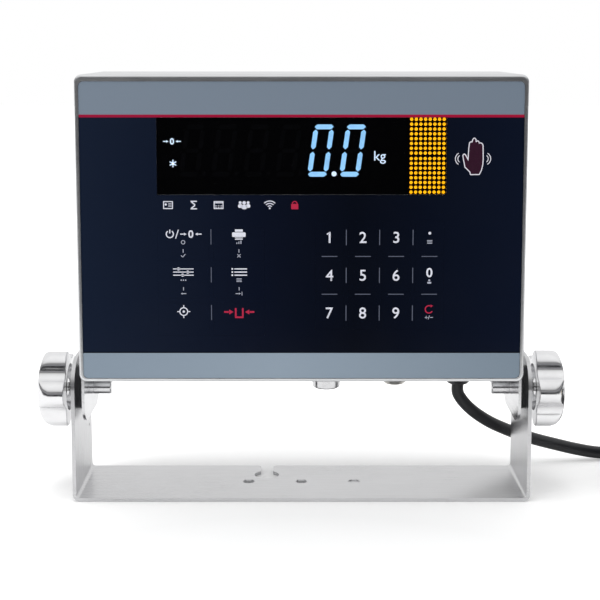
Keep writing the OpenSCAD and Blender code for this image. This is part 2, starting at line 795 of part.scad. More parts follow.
// The measuring board, with its processor, a shielded converter and two connectors
module main_board() {
    part_h = connector_h;
    color("darkgreen") {
        block(main_board_x, board_front, board_bottom + main_board_h / 2, main_board_w, main_board_h, board_t);
        block(ribbon_x, board_front - connector_h, ribbon_z, ribbon_w + standoff_in, connector_h, connector_h);
        block(main_board_x, board_front - part_h / 2, board_bottom + main_board_h / 3,
              main_board_w / 4, main_board_w / 4, part_h / 2);
        block(main_board_x + main_board_w / 4, board_front - part_h, board_bottom + main_board_h / 8,
              main_board_w / 3, main_board_w / 10, part_h);
        block(main_board_x - main_board_w / 4, board_front - part_h, board_bottom + main_board_h / 8,
              main_board_w / 4, main_board_w / 4, part_h);
    }
}

// Standoffs: behind the display, behind the keys and under the boards in the rear
module board_standoffs() {
    main_mid = board_bottom + main_board_h / 2;
    power_mid = board_bottom + power_board_h / 2;
    color("goldenrod") {
        for (x = [-1, 1]) for (z = [-1, 1]) {
            bar(x * (display_board_w / 2 - 2 * standoff_in), panel_back,
                window_z + z * (display_board_h / 2 - small_standoff_dia), small_standoff_dia, module_d);
            bar(main_board_x + x * (main_board_w / 2 - standoff_in), board_front + board_t,
                main_mid + z * (main_board_h / 2 - standoff_in), standoff_dia, standoff_l);
            bar(power_board_x + x * (power_board_w / 2 - standoff_in), board_front + board_t,
                power_mid + z * (power_board_h / 2 - standoff_in), standoff_dia, standoff_l);
        }
        for (x = [small_standoff_dia / 2 - keypad_board_w / 2, (number_x - function_x + function_pitch) / 2,
                  keypad_board_w / 2 - small_standoff_dia / 2])
            for (z = [-1, 1]) bar(x, panel_back, keypad_z + z * (keypad_board_h / 2 - 2 * small_standoff_dia),
                                  small_standoff_dia, keypad_front - panel_back);
    }
}

module power_supply_board() {
    bottom = board_bottom;
    color("darkolivegreen") {
        block(power_board_x, board_front, bottom + power_board_h / 2, power_board_w, power_board_h, board_t);
        block(power_board_x + power_board_w / 4, board_front - connector_h, bottom + connector_h,
              power_board_w / 3, 2 * connector_h, connector_h);
        translate([power_board_x - power_board_w / 4, face_y + board_front, bottom + power_board_h / 5])
            rotate([90, 0, 0]) cylinder(d = power_board_w / 6, h = core_d / 2);
    }
}

// A small mains transformer: an iron core round a winding
module transformer() {
    z = board_bottom + power_board_h - core_h / 2 - standoff_in;
    color("peru") {
        block(power_board_x, board_front - core_d, z, core_w, core_h, core_d);
        block(power_board_x, board_front - core_d - winding_out / 2, z, core_w / 2 + winding_out, core_h - winding_out,
              core_d + winding_out / 2);
    }
}

// The ribbon sags between its two connectors
module ribbon_cable() {
    steps = 16;
    start = display_back + board_t + connector_h;
    span = board_front - connector_h - start;
    line = [for (i = [0:steps]) let (s = i / steps) [face_y + start + s * span, ribbon_z - ribbon_sag * pow(sin(180 * s), 2)]];
    color("lightsteelblue") translate([ribbon_x - ribbon_w / 2, 0, 0]) rotate([90, 0, 90]) linear_extrude(ribbon_w)
        polygon(concat([for (p = line) p + [0, ribbon_t / 2]],
                       [for (i = [steps:-1:0]) line[i] - [0, ribbon_t / 2]]));
}

// Glands and plugs in the housing's bottom wall

// A gland's outside: hexagon, tapered cap and the thread through the wall
module gland_shape(x, cap_h) {
    translate([x, face_y + gland_set, body_z]) {
        translate([0, 0, -gland_hex_h]) cylinder(d = gland_hex_dia, h = gland_hex_h, $fn = 6);
        if (cap_h > 0) translate([0, 0, -gland_hex_h - cap_h])
            cylinder(d1 = gland_mouth_dia, d2 = gland_hex_dia - gland_thread_dia / 4, h = cap_h);
        cylinder(d = gland_thread_dia, h = gland_thread_l);
    }
}

module power_gland() {
    color("dimgray") gland_shape(power_gland_x, gland_cap_h);
}

module load_cell_gland() {
    color("silver") difference() {
        gland_shape(cell_gland_x, gland_cap_h);
        translate([cell_gland_x, face_y + gland_set, body_z - gland_hex_h - gland_cap_h - cut])
            cylinder(d = cell_bore_dia, h = gland_hex_h + gland_cap_h + gland_thread_l + 2 * cut);
    }
}

module option_plug() {
    color("silver") gland_shape(-option_x, 0);
}

module gland_nuts() {
    color("silver") for (x = [power_gland_x, cell_gland_x, -option_x])
        translate([x, face_y + gland_set, body_z + sheet_t]) difference() {
            cylinder(d = gland_hex_dia, h = gland_nut_h, $fn = 6);
            translate([0, 0, -cut]) cylinder(d = gland_thread_dia + 2 * hole_gap, h = gland_nut_h + 2 * cut);
        }
}

// A round plug that lets the housing breathe, with a stub through the wall
module vent_plug() {
    color("gainsboro") translate([vent_x, face_y + vent_set, body_z]) {
        translate([0, 0, -vent_h]) cylinder(d = vent_dia, h = vent_h);
        cylinder(d = vent_thread_dia, h = sheet_t + vent_thread_dia / 2);
    }
}

// Mains lead, from the gland along the floor to its coil and plug

module power_cord() {
    color("dimgray") tube(cord_route, cord_r, cord_sides, [0, 1, 0]);
}

// A smooth step from 0 to 1
function smooth(s) = let (c = min(max(s, 0), 1)) c * c * (3 - 2 * c);
// How many turns a point is away from the last reversal, folded back and forth
function folded(u) = let (m = u % (2 * coil_layer_turns)) min(m, 2 * coil_layer_turns - m);
function coil_radius(u) = coil_r - coil_pitch * folded(u);
function sum(v, i = 0) = i < len(v) ? v[i] + sum(v, i + 1) : 0;
function coil_climb(u) =
    sum([for (k = [1:coil_layers - 1]) smooth((u - k * coil_layer_turns) / (2 * climb_half_share) + 1 / 2)]);
// The tail starts to rise a quarter turn before the top layer ends
tail_rise = plug_z - coil_z - (coil_layers - 1) * coil_pitch;
tail_lead = coil_r * PI / 2;
tail_bend = tail_r * PI / 2;
function tail_height(along) = tail_rise * smooth(along / (tail_lead + tail_bend));
function coil_point(u) =
    let (a = 360 * u, before_end = (coil_turns - u) * 2 * PI * coil_r)
    [coil_x + coil_radius(u) * sin(a), coil_y + coil_radius(u) * cos(a),
     coil_z + coil_pitch * coil_climb(u) + tail_height(tail_lead - before_end)];
function tail_point(s) =
    [coil_x + tail_r * sin(90 * s), coil_y + coil_r - tail_r * (1 - cos(90 * s)),
     coil_z + (coil_layers - 1) * coil_pitch + tail_height(tail_lead + tail_bend * s)];
coil_line = concat([cord_route[len(cord_route) - 1]],
                   [for (i = [0:coil_turns * coil_rings]) coil_point(i / coil_rings)],
                   [for (i = [1:tail_rings]) tail_point(i / tail_rings)]);
// The straight end of the coil's tube and its least gap to itself, more than a third of a turn on
function line_length(p, i = 0) = i < len(p) - 1 ? norm(p[i + 1] - p[i]) + line_length(p, i + 1) : 0;
coil_gap = min([for (i = [0:len(coil_line) - 1]) for (k = [i + 9:1:len(coil_line) - 1])
    norm(coil_line[i] - coil_line[k])]) - cord_dia;
echo(lead_length = line_length(cord_route) + line_length(coil_line) + sleeve_l, coil_gap = coil_gap);

module cord_coil() {
    color("dimgray") tube(coil_line, cord_r, coil_sides, [0, 0, 1]);
}

// A moulded plug that lies on the coil and points to the front
module plug_body() {
    body_y = plug_y - sleeve_l;
    color("dimgray") translate([plug_x, 0, plug_z]) {
        translate([0, plug_y, 0]) rotate([90, 0, 0])
            cylinder(r1 = cord_r, r2 = plug_t / 2 * sleeve_end_share, h = sleeve_l);
        translate([0, body_y, 0]) rotate([90, 0, 0]) linear_extrude(plug_l) rounded(plug_w, plug_t, plug_round);
    }
}

module plug_pins() {
    pins_y = plug_y - sleeve_l - plug_l;
    color("goldenrod") translate([plug_x, pins_y, plug_z + plug_t / 6]) {
        for (x = [-1, 1]) translate([x * blade_pitch / 2 - blade_t / 2, -pin_l, -blade_w / 2]) cube([blade_t, pin_l, blade_w]);
        translate([0, 0, -earth_drop_share * blade_pitch]) rotate([90, 0, 0]) cylinder(d = earth_dia, h = pin_l);
    }
}

// A flat tie round the coil, under its bottom turns
module cord_tie() {
    inner = coil_r - coil_pitch * coil_layer_turns - cord_r - tie_gap;
    outer = coil_r + cord_r + tie_gap;
    high = coil_top + tie_gap;
    color("black") translate([coil_x, coil_y + tie_w / 2, 0]) rotate([90, 0, 0]) linear_extrude(tie_w) difference() {
        translate([-outer - tie_t, 0]) square([outer - inner + 2 * tie_t, high + tie_t]);
        translate([-outer, tie_t]) square([outer - inner, high - tie_t]);
    }
}

mounting_bracket();
spacer(-1);  // spacer_left
spacer(1);  // spacer_right
washers(-1);  // washers_left
washers(1);  // washers_right
knob(-1, 0);  // knob_left
knob(1, knob_turn);  // knob_right
knob_stud(-1);  // knob_stud_left
knob_stud(1);  // knob_stud_right
pivot_lug(-1);  // pivot_lug_left
pivot_lug(1);  // pivot_lug_right
pivot_bush(-1);  // pivot_bush_left
pivot_bush(1);  // pivot_bush_right
front_bezel();
housing_gasket();
rear_housing();
cover_posts();
cover_screws();
screw_seals();
overlay_panel();
display_window();
digit_display();
led_matrix();
display_board();
keypad_board();
key_domes();
sensor_board();
main_board();
board_standoffs();
power_supply_board();
transformer();
ribbon_cable();
vent_plug();
power_gland();
load_cell_gland();
option_plug();
gland_nuts();
power_cord();
cord_coil();
plug_body();
plug_pins();
cord_tie();
for (row = [0:key_rows - 1]) {
    for (column = [0:1])
        function_key(row, column);
    for (column = [0:3])
        number_key(row, column);
}
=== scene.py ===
import json
import math

import bmesh
import bpy
from mathutils import Matrix, Vector

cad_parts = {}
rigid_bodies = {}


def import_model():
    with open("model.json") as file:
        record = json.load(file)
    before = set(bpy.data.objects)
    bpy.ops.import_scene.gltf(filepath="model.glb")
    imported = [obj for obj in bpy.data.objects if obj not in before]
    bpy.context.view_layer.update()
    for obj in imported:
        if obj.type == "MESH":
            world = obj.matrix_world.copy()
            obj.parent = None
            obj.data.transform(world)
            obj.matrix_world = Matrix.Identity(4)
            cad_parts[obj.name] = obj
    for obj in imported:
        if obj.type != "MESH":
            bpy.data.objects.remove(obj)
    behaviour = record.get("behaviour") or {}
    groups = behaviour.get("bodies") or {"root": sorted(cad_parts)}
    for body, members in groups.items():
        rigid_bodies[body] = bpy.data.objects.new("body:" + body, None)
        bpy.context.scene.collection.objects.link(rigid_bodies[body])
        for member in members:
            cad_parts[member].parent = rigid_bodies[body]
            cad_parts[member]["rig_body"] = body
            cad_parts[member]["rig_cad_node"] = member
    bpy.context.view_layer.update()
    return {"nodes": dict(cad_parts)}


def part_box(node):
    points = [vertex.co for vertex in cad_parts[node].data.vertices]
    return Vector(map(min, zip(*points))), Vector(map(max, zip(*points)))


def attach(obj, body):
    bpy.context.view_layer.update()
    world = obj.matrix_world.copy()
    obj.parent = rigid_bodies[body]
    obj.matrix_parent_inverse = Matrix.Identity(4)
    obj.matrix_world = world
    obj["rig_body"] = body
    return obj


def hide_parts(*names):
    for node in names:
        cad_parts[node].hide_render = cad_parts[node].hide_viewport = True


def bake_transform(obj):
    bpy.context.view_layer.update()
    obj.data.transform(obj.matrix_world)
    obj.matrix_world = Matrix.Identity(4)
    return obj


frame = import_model()
bpy.ops.object.select_all(action="DESELECT")

# The viewpoint: a long lens straight in front of the indicator, a little above it and looking slightly
# down. The frame is shifted down too, as the photograph's is, so that the object stands above its middle.
MM = 0.001
CAMERA_AT = (-0.8 * MM, -730 * MM, 248.4 * MM)
CAMERA_TILT = math.radians(83.5)
LENS = 78
SENSOR_W = 36
SHIFT_Y = -0.176

bpy.ops.object.camera_add(location=CAMERA_AT, rotation=(CAMERA_TILT, 0, 0))
camera = bpy.context.object
camera.data.lens = LENS
camera.data.sensor_width = SENSOR_W
camera.data.shift_y = SHIFT_Y
bpy.context.scene.camera = camera
bpy.context.scene.view_settings.view_transform = "Standard"

# The studio: a white floor that fades into a white room, one large soft lamp above and a little in front, and
# a weaker one at each side. Polished metal mirrors a room without the lamps: in front a hall, dark about
# level height with dim and pale bands above, and a dark wall at each side.
FLOOR_FRONT = 300 * MM
FLOOR_W = 5000 * MM
SHADE_AT_Y = -230 * MM
FLOOR_NEAR = 170 * MM
FLOOR_FAR = 420 * MM
FLOOR_GLOW = 0.55
HALL_TONES = (
    (0.30, (0.5, 0.5, 0.5, 1)), (0.38, (0.015, 0.015, 0.018, 1)), (0.52, (0.015, 0.015, 0.018, 1)),
    (0.56, (0.30, 0.30, 0.31, 1)), (0.64, (0.26, 0.26, 0.27, 1)), (0.68, (0.06, 0.06, 0.06, 1)),
    (0.72, (0.5, 0.5, 0.5, 1)), (0.82, (0.85, 0.85, 0.85, 1)), (1, (1, 1, 1, 1)),
)
ROOM_TONES = ((0.78, (0.9, 0.9, 0.9, 1)), (0.92, (0.12, 0.12, 0.13, 1)))
ROOM_LIGHT = 0.80
LAMP_AIM = Vector((0, 0, 120 * MM))
EVEN = (1, 1, 1)
LAMPS = (
    ("lamp_above", (-200 * MM, -100 * MM, 1300 * MM), 900 * MM, 9),
    ("lamp_left", (-1200 * MM, -500 * MM, 500 * MM), 700 * MM, 2),
    ("lamp_right", (1200 * MM, -400 * MM, 500 * MM), 700 * MM, 2),
)


def ink(red, green, blue):
    """The colour that a viewer reads as these values from 0 to 255."""
    def straight(level):
        share = level / 255
        return share / 12.92 if share <= 0.04045 else ((share + 0.055) / 1.055) ** 2.4
    return (straight(red), straight(green), straight(blue), 1)


def add_node(tree, kind, **settings):
    node = tree.nodes.new(kind)
    for key, value in settings.items():
        setattr(node, key, value)
    return node


def spread(tree, value, low, high, to_low=0.0, to_high=1.0):
    """The value's run from low to high, turned into a run from to_low to to_high."""
    node = add_node(tree, "ShaderNodeMapRange")
    for socket, level in (("From Min", low), ("From Max", high), ("To Min", to_low), ("To Max", to_high)):
        node.inputs[socket].default_value = level
    tree.links.new(value, node.inputs["Value"])
    return node.outputs["Result"]


def combined(tree, kind, a, b):
    node = add_node(tree, "ShaderNodeMath", operation=kind)
    tree.links.new(a, node.inputs[0])
    tree.links.new(b, node.inputs[1])
    return node.outputs[0]


def tones(tree, value, stops):
    """A colour ramp over the value, from (place, colour) pairs."""
    node = add_node(tree, "ShaderNodeValToRGB")
    ramp = node.color_ramp
    ramp.elements[0].position, ramp.elements[0].color = stops[0]
    ramp.elements[1].position, ramp.elements[1].color = stops[-1]
    for place, colour in stops[1:-1]:
        ramp.elements.new(place).color = colour
    tree.links.new(value, node.inputs["Fac"])
    return node.outputs["Color"]


world = bpy.data.worlds.new("studio_room")
bpy.context.scene.world = world
world.use_nodes = True
world.cycles.sampling_method = "NONE"
room = world.node_tree
room.nodes.clear()
direction = add_node(room, "ShaderNodeTexCoord")
split = add_node(room, "ShaderNodeSeparateXYZ")
room.links.new(direction.outputs["Generated"], split.inputs["Vector"])
to_front = spread(room, split.outputs["Y"], 0.35, -0.1)
height = spread(room, split.outputs["Z"], -1, 1)
hall = tones(room, height, HALL_TONES)
seen = add_node(room, "ShaderNodeLightPath")
mirrored = add_node(room, "ShaderNodeMix", data_type="RGBA")
sideways = add_node(room, "ShaderNodeMath", operation="ABSOLUTE")
room.links.new(split.outputs["X"], sideways.inputs[0])
room.links.new(tones(room, sideways.outputs[0], ROOM_TONES), mirrored.inputs["A"])
room.links.new(to_front, mirrored.inputs["Factor"])
room.links.new(hall, mirrored.inputs["B"])
mirrored_room = add_node(room, "ShaderNodeBackground")
room.links.new(mirrored.outputs["Result"], mirrored_room.inputs["Color"])
lighting_room = add_node(room, "ShaderNodeBackground")
lighting_room.inputs["Strength"].default_value = ROOM_LIGHT
white_room = add_node(room, "ShaderNodeBackground")
for background in (lighting_room, white_room):
    background.inputs["Color"].default_value = (1, 1, 1, 1)
by_gloss = add_node(room, "ShaderNodeMixShader")
gloss = combined(room, "MAXIMUM", seen.outputs["Is Glossy Ray"], seen.outputs["Is Transmission Ray"])
room.links.new(gloss, by_gloss.inputs["Fac"])
room.links.new(lighting_room.outputs[0], by_gloss.inputs[1])
room.links.new(mirrored_room.outputs[0], by_gloss.inputs[2])
by_eye = add_node(room, "ShaderNodeMixShader")
room.links.new(seen.outputs["Is Camera Ray"], by_eye.inputs["Fac"])
room.links.new(by_gloss.outputs[0], by_eye.inputs[1])
room.links.new(white_room.outputs[0], by_eye.inputs[2])
room_output = add_node(room, "ShaderNodeOutputWorld")
room.links.new(by_eye.outputs[0], room_output.inputs["Surface"])

for lamp_name, place, size, power in LAMPS:
    bpy.ops.object.light_add(type="AREA", location=place)
    lamp = bpy.context.object
    lamp.name = lamp_name
    lamp.data.size = size
    lamp.data.energy = power
    lamp.visible_glossy = False
    lamp.rotation_euler = (LAMP_AIM - lamp.location).to_track_quat("-Z", "Y").to_euler()


def new_finish(name, metallic=0.0, specular=0.5, rough=0.5):
    """A new material, its node tree and its shader."""
    material = bpy.data.materials.new(name)
    material.use_nodes = True
    shader = material.node_tree.nodes["Principled BSDF"]
    shader.inputs["Metallic"].default_value = metallic
    shader.inputs["Specular IOR Level"].default_value = specular
    shader.inputs["Roughness"].default_value = rough
    return material, material.node_tree, shader


def grain(tree, scale, stretch=EVEN, detail=3, roughness=0.6):
    """Noise on the object's own coordinates, drawn out along an axis where stretch is small."""
    place = add_node(tree, "ShaderNodeTexCoord")
    mapping = add_node(tree, "ShaderNodeMapping")
    mapping.inputs["Scale"].default_value = stretch
    noise = add_node(tree, "ShaderNodeTexNoise")
    noise.inputs["Scale"].default_value = scale
    noise.inputs["Detail"].default_value = detail
    noise.inputs["Roughness"].default_value = roughness
    tree.links.new(place.outputs["Object"], mapping.inputs["Vector"])
    tree.links.new(mapping.outputs["Vector"], noise.inputs["Vector"])
    return noise.outputs["Fac"]


def tint(tree, shader, noise, dark, light, start=0.3, end=0.7):
    """Lets the base colour wander between two tones."""
    tree.links.new(tones(tree, noise, ((start, dark), (end, light))), shader.inputs["Base Color"])


floor_paint, floor_tree, floor_shader = new_finish("floor_paint", rough=0.9, specular=0.1)
tint(floor_tree, floor_shader, grain(floor_tree, 3), (0.89, 0.89, 0.89, 1), (0.91, 0.91, 0.91, 1))
# Painted light: for the camera the floor glows, more the farther it lies from a point in front of the
# indicator, so shade stays near the front edge and shadows further off wash out to white.
floor_seen = add_node(floor_tree, "ShaderNodeLightPath")
floor_place = add_node(floor_tree, "ShaderNodeTexCoord")
away = add_node(floor_tree, "ShaderNodeVectorMath", operation="DISTANCE")
away.inputs[1].default_value = (0, SHADE_AT_Y, 0)
floor_tree.links.new(floor_place.outputs["Object"], away.inputs[0])
far_glow = spread(floor_tree, away.outputs["Value"], FLOOR_NEAR, FLOOR_FAR, 0, FLOOR_GLOW)
floor_glow = combined(floor_tree, "MULTIPLY", floor_seen.outputs["Is Camera Ray"], far_glow)
floor_shader.inputs["Emission Color"].default_value = (1, 1, 1, 1)
floor_tree.links.new(floor_glow, floor_shader.inputs["Emission Strength"])
bpy.ops.mesh.primitive_plane_add(size=1, location=(0, FLOOR_W / 2 - FLOOR_FRONT, -0.1 * MM))
bpy.context.object.scale = (FLOOR_W, FLOOR_W, 1)
bpy.ops.object.transform_apply(location=True, rotation=True, scale=True)
floor = bpy.context.object
floor.name = "studio_floor"
floor.data.materials.append(floor_paint)

# Mains lead: one length of round black rubber flex, 7.2 mm thick. It hangs from the gland, bends over to the
# floor, runs off to the right and is wound into a coil of seven turns in two passes out and in.
CORD_DIA = 7.2 * MM
CORD_ROUTE = (
    (92.5, 22, 50.7), (92.5, 22, 45.5), (94, 22.1, 42), (97, 22.4, 38), (101.5, 22.9, 33.6),
    (107, 23.6, 29.4), (113.5, 24.4, 25.4), (121, 25.3, 21.8), (130, 26.5, 18), (141, 28, 14.2),
    (153, 30, 10.6), (166, 32, 7), (180, 34, 4.2), (193, 35.5, 4.2), (206, 36, 4.5), (218, 36, 4.5),
)
COIL_MID = Vector((226, -7, 4.5)) * MM
COIL_R = 43 * MM
COIL_PITCH = 7.7 * MM
COIL_TURNS = 7
LAYER_TURNS = 1.75
CLIMB_TURNS = 0.5
COIL_STEPS = 36
TAIL_R = 29 * MM
TAIL_RISE = 15.9 * MM
TAIL_STEPS = 14


def ease(share):
    level = min(max(share, 0), 1)
    return level * level * (3 - 2 * level)


def tail_height(along):
    return TAIL_RISE * ease(along / ((COIL_R + TAIL_R) * math.pi / 2))


def coil_point(turns):
    """A point of the coil after so many turns: it spirals in and out, and climbs a layer as it turns back."""
    folded = turns % (2 * LAYER_TURNS)
    radius = COIL_R - COIL_PITCH * min(folded, 2 * LAYER_TURNS - folded)
    climb = sum(ease((turns - k * LAYER_TURNS) / CLIMB_TURNS + 0.5) for k in (1, 2, 3))
    to_end = (COIL_TURNS - turns) * math.tau * COIL_R
    angle = math.tau * turns
    lift = COIL_PITCH * climb + tail_height(COIL_R * math.pi / 2 - to_end)
    return COIL_MID + Vector((radius * math.sin(angle), radius * math.cos(angle), lift))


def tail_point(share):
    """A point of the quarter turn that brings the lead's end round to the plug."""
    angle = share * math.pi / 2
    lift = 3 * COIL_PITCH + tail_height(COIL_R * math.pi / 2 + TAIL_R * angle)
    return COIL_MID + Vector((TAIL_R * math.sin(angle), COIL_R - TAIL_R * (1 - math.cos(angle)), lift))


def rounded_route(points, steps):
    """A smooth line through all the points."""
    ends = [2 * points[0] - points[1], *points, 2 * points[-1] - points[-2]]
    line = []
    for a, b, c, d in zip(ends, ends[1:], ends[2:], ends[3:]):
        for step in range(steps):
            t = step / steps
            line.append(b + t * (c - a) / 2 + t * t * (a - 2.5 * b + 2 * c - d / 2)
                        + t ** 3 * (d - 3 * c + 3 * b - a) / 2)
    return line + [points[-1]]


def tube(name, line, radius, sides):
    """A round tube along a line, with closed ends. The ring's first side never twists along the way."""
    mesh = bmesh.new()
    rings = []
    side = Vector((0, 1, 0))
    for i, point in enumerate(line):
        along = (line[min(i + 1, len(line) - 1)] - line[max(i - 1, 0)]).normalized()
        side = (side - along * side.dot(along)).normalized()
        across = along.cross(side)
        rings.append([mesh.verts.new(point + radius * (math.cos(math.tau * k / sides) * side
                                                       + math.sin(math.tau * k / sides) * across))
                      for k in range(sides)])
    for low, high in zip(rings, rings[1:]):
        for k in range(sides):
            mesh.faces.new((low[k], low[k - 1], high[k - 1], high[k]))
    mesh.faces.new(rings[0])
    mesh.faces.new(rings[-1][::-1])
    bmesh.ops.recalc_face_normals(mesh, faces=mesh.faces)
    data = bpy.data.meshes.new(name)
    mesh.to_mesh(data)
    mesh.free()
    piece = bpy.data.objects.new(name, data)
    bpy.context.scene.collection.objects.link(piece)
    return piece


def only(piece):
    """Selects this piece alone and makes it active."""
    bpy.ops.object.select_all(action="DESELECT")
    piece.select_set(True)
    bpy.context.view_layer.objects.active = piece


def soften(piece, angle):
    """Smooth shading that keeps edges sharper than the angle, and large flat faces flat."""
    only(piece)
    bpy.ops.object.shade_smooth_by_angle(angle=math.radians(angle))
    flat_first = piece.modifiers.new("flat_first", "WEIGHTED_NORMAL")
    flat_first.keep_sharp = True
    bpy.ops.object.modifier_apply(modifier=flat_first.name)


def dress(piece, material):
    piece.data.materials.clear()
    piece.data.materials.append(material)


def finish(piece, material, angle=35):
    soften(piece, angle)
    dress(piece, material)


def dull(tree, shader, noise, low, high, start=0.3, end=0.7):
    """Lets the roughness wander between two levels."""
    tree.links.new(spread(tree, noise, start, end, low, high), shader.inputs["Roughness"])


def relief(tree, shader, height, depth, strength=0.5):
    bump = add_node(tree, "ShaderNodeBump")
    bump.inputs["Strength"].default_value = strength
    bump.inputs["Distance"].default_value = depth
    tree.links.new(height, bump.inputs["Height"])
    tree.links.new(bump.outputs["Normal"], shader.inputs["Normal"])


def grained(name, dark, light, tint_by, roughs=None, dull_by=None, bump=None, bump_by=None, **levels):
    """A finish whose tone, roughness and relief each follow a grain of their own, of that scale and so on."""
    material, tree, shader = new_finish(name, **levels)
    tint(tree, shader, grain(tree, *tint_by), dark, light)
    if roughs:
        dull(tree, shader, grain(tree, *dull_by), *roughs)
    if bump:
        relief(tree, shader, grain(tree, *bump_by), *bump)
    return material


cord_rubber = grained("cord_rubber", ink(32, 33, 36), ink(42, 43, 46), (90, EVEN, 5), (0.34, 0.46),
                      (400,), (0.05 * MM, 0.3), (1600, EVEN, 2), specular=0.45)

route = rounded_route([Vector(point) * MM for point in CORD_ROUTE], 4)
coil = [coil_point(i / COIL_STEPS) for i in range(COIL_TURNS * COIL_STEPS + 1)]
tail = [tail_point(i / TAIL_STEPS) for i in range(1, TAIL_STEPS + 1)]
cord_line = route + coil + tail
cord = tube("mains_cord", cord_line, CORD_DIA / 2, 20)
finish(cord, cord_rubber, 50)
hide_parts("power_cord", "cord_coil")
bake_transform(cord)

# Plug: black rubber moulded onto the lead, its sleeve ringed so that it bends, its grip dished at both sides.
# Two flat blades and a round earth pin of drawn brass are moulded in.
PLUG_AT = Vector((255, 7, 43.5)) * MM
SLEEVE_L = 18 * MM
PLUG_L = 32 * MM
PLUG_W = 27 * MM
PLUG_T = 24 * MM
SLEEVE_RINGS = 5
RING_DEPTH = 0.7 * MM
PLUG_CORNER_R = 6 * MM
PLUG_TAPER = (0.66, 1, 0.62)
DISH_RIM = 2.2 * MM
DISH_DEPTH = 1.2 * MM

# Nearer than CLOSE is the same place, and a direction lies along an axis from FACING on.
CLOSE = 1e-6
FACING = 0.9


def settle(name):
    """Names the active piece and puts its place, turn and size into its mesh."""
    bpy.ops.object.transform_apply(location=True, rotation=True, scale=True)
    piece = bpy.context.object
    piece.name = name
    return piece


def edit(piece):
    only(piece)
    bpy.ops.object.mode_set(mode="EDIT")


def done():
    bpy.ops.object.mode_set(mode="OBJECT")


def pick_all():
    bpy.ops.mesh.select_all(action="SELECT")


def extrude(x, y, z):
    bpy.ops.mesh.extrude_region_move(TRANSFORM_OT_translate={"value": (x, y, z)})


def pick(piece, kind, test):
    """In edit mode, selects the vertices, edges or faces whose middle and direction pass the test."""
    bpy.ops.mesh.select_mode(type=kind)
    bpy.ops.mesh.select_all(action="DESELECT")
    mesh = bmesh.from_edit_mesh(piece.data)
    mesh.normal_update()
    if kind == "VERT":
        chosen = [v for v in mesh.verts if test(v.co, v.normal)]
    elif kind == "EDGE":
        chosen = [e for e in mesh.edges
                  if test((e.verts[0].co + e.verts[1].co) / 2, (e.verts[1].co - e.verts[0].co).normalized())]
    else:
        chosen = [f for f in mesh.faces if test(f.calc_center_median(), f.normal)]
    for part in chosen:
        part.select_set(True)
    mesh.select_flush_mode()
    bmesh.update_edit_mesh(piece.data)


def modify(piece, kind, **settings):
    """Adds a modifier and applies it."""
    only(piece)
    modifier = piece.modifiers.new(kind.lower(), kind)
    for key, value in settings.items():
        setattr(modifier, key, value)
    bpy.ops.object.modifier_apply(modifier=modifier.name)


def ease_edges(piece, width, segments=2, angle=50):
    modify(piece, "BEVEL", width=width, segments=segments, limit_method="ANGLE",
           angle_limit=math.radians(angle), use_clamp_overlap=True)


def join(name, *pieces):
    only(pieces[0])
    for piece in pieces:
        piece.select_set(True)
    bpy.ops.object.join()
    bpy.context.object.name = name
    return bpy.context.object


def turned(name, profile, axis_at, direction, sides=48):
    """A turned part: the profile of (along, radius) pairs, spun about an axis that starts at axis_at."""
    bpy.ops.mesh.primitive_circle_add(vertices=sides, radius=profile[0][1], fill_type="NGON",
                                      location=(0, 0, profile[0][0]))
    piece = settle(name)
    edit(piece)
    for (start, small), (end, large) in zip(profile, profile[1:]):
        pick(piece, "FACE",
             lambda at, out: at.z > start - CLOSE / 10 and abs(out.z) > FACING and at.xy.length < CLOSE)
        extrude(0, 0, end - start)
        bpy.ops.transform.resize(value=(large / small, large / small, 1), center_override=(0, 0, end))
    pick_all()
    bpy.ops.mesh.normals_make_consistent(inside=False)
    done()
    piece.data.transform(Vector((0, 0, 1)).rotation_difference(Vector(direction)).to_matrix().to_4x4())
    piece.data.transform(Matrix.Translation(axis_at))
    return piece


def block(name, middle, size, rotation=(0, 0, 0)):
    bpy.ops.mesh.primitive_cube_add(size=1, location=middle, rotation=rotation)
    bpy.context.object.scale = size
    return settle(name)


def rod(name, dia, length, middle, axis, sides=40):
    """A straight bar, round or with few sides, to cut a hole with."""
    bpy.ops.mesh.primitive_cylinder_add(vertices=sides, radius=dia / 2, depth=length, location=middle)
    bpy.context.object.rotation_euler = Vector((0, 0, 1)).rotation_difference(Vector(axis)).to_euler()
    return settle(name)


def cut_away(piece, *cutters):
    """Cuts the cutters' shapes out of the piece and throws them away."""
    for cutter in cutters:
        modify(piece, "BOOLEAN", operation="DIFFERENCE", object=cutter, solver="EXACT")
        bpy.data.objects.remove(cutter)


plug_rubber = grained("plug_rubber", ink(38, 38, 40), ink(48, 48, 51), (120, EVEN, 4), (0.42, 0.56),
                      (700,), (0.06 * MM, 0.4), (2200, EVEN, 2))

sleeve_profile = [(0, CORD_DIA / 2 + 0.4 * MM)]
for i in range(SLEEVE_RINGS):
    step = SLEEVE_L / SLEEVE_RINGS
    start = i * step
    radius = CORD_DIA / 2 + 0.6 * MM + (3.2 * MM) * (i + 1) / SLEEVE_RINGS
    sleeve_profile += [(start + step * 0.15, radius), (start + step * 0.62, radius),
                       (start + step * 0.70, radius - RING_DEPTH), (start + step * 0.98, radius - RING_DEPTH)]
sleeve_profile.append((SLEEVE_L + 0.5 * MM, CORD_DIA / 2 + 3.2 * MM))
sleeve = turned("plug_sleeve", sleeve_profile, PLUG_AT, (0, -1, 0), 32)
ease_edges(sleeve, 0.25 * MM, angle=40)

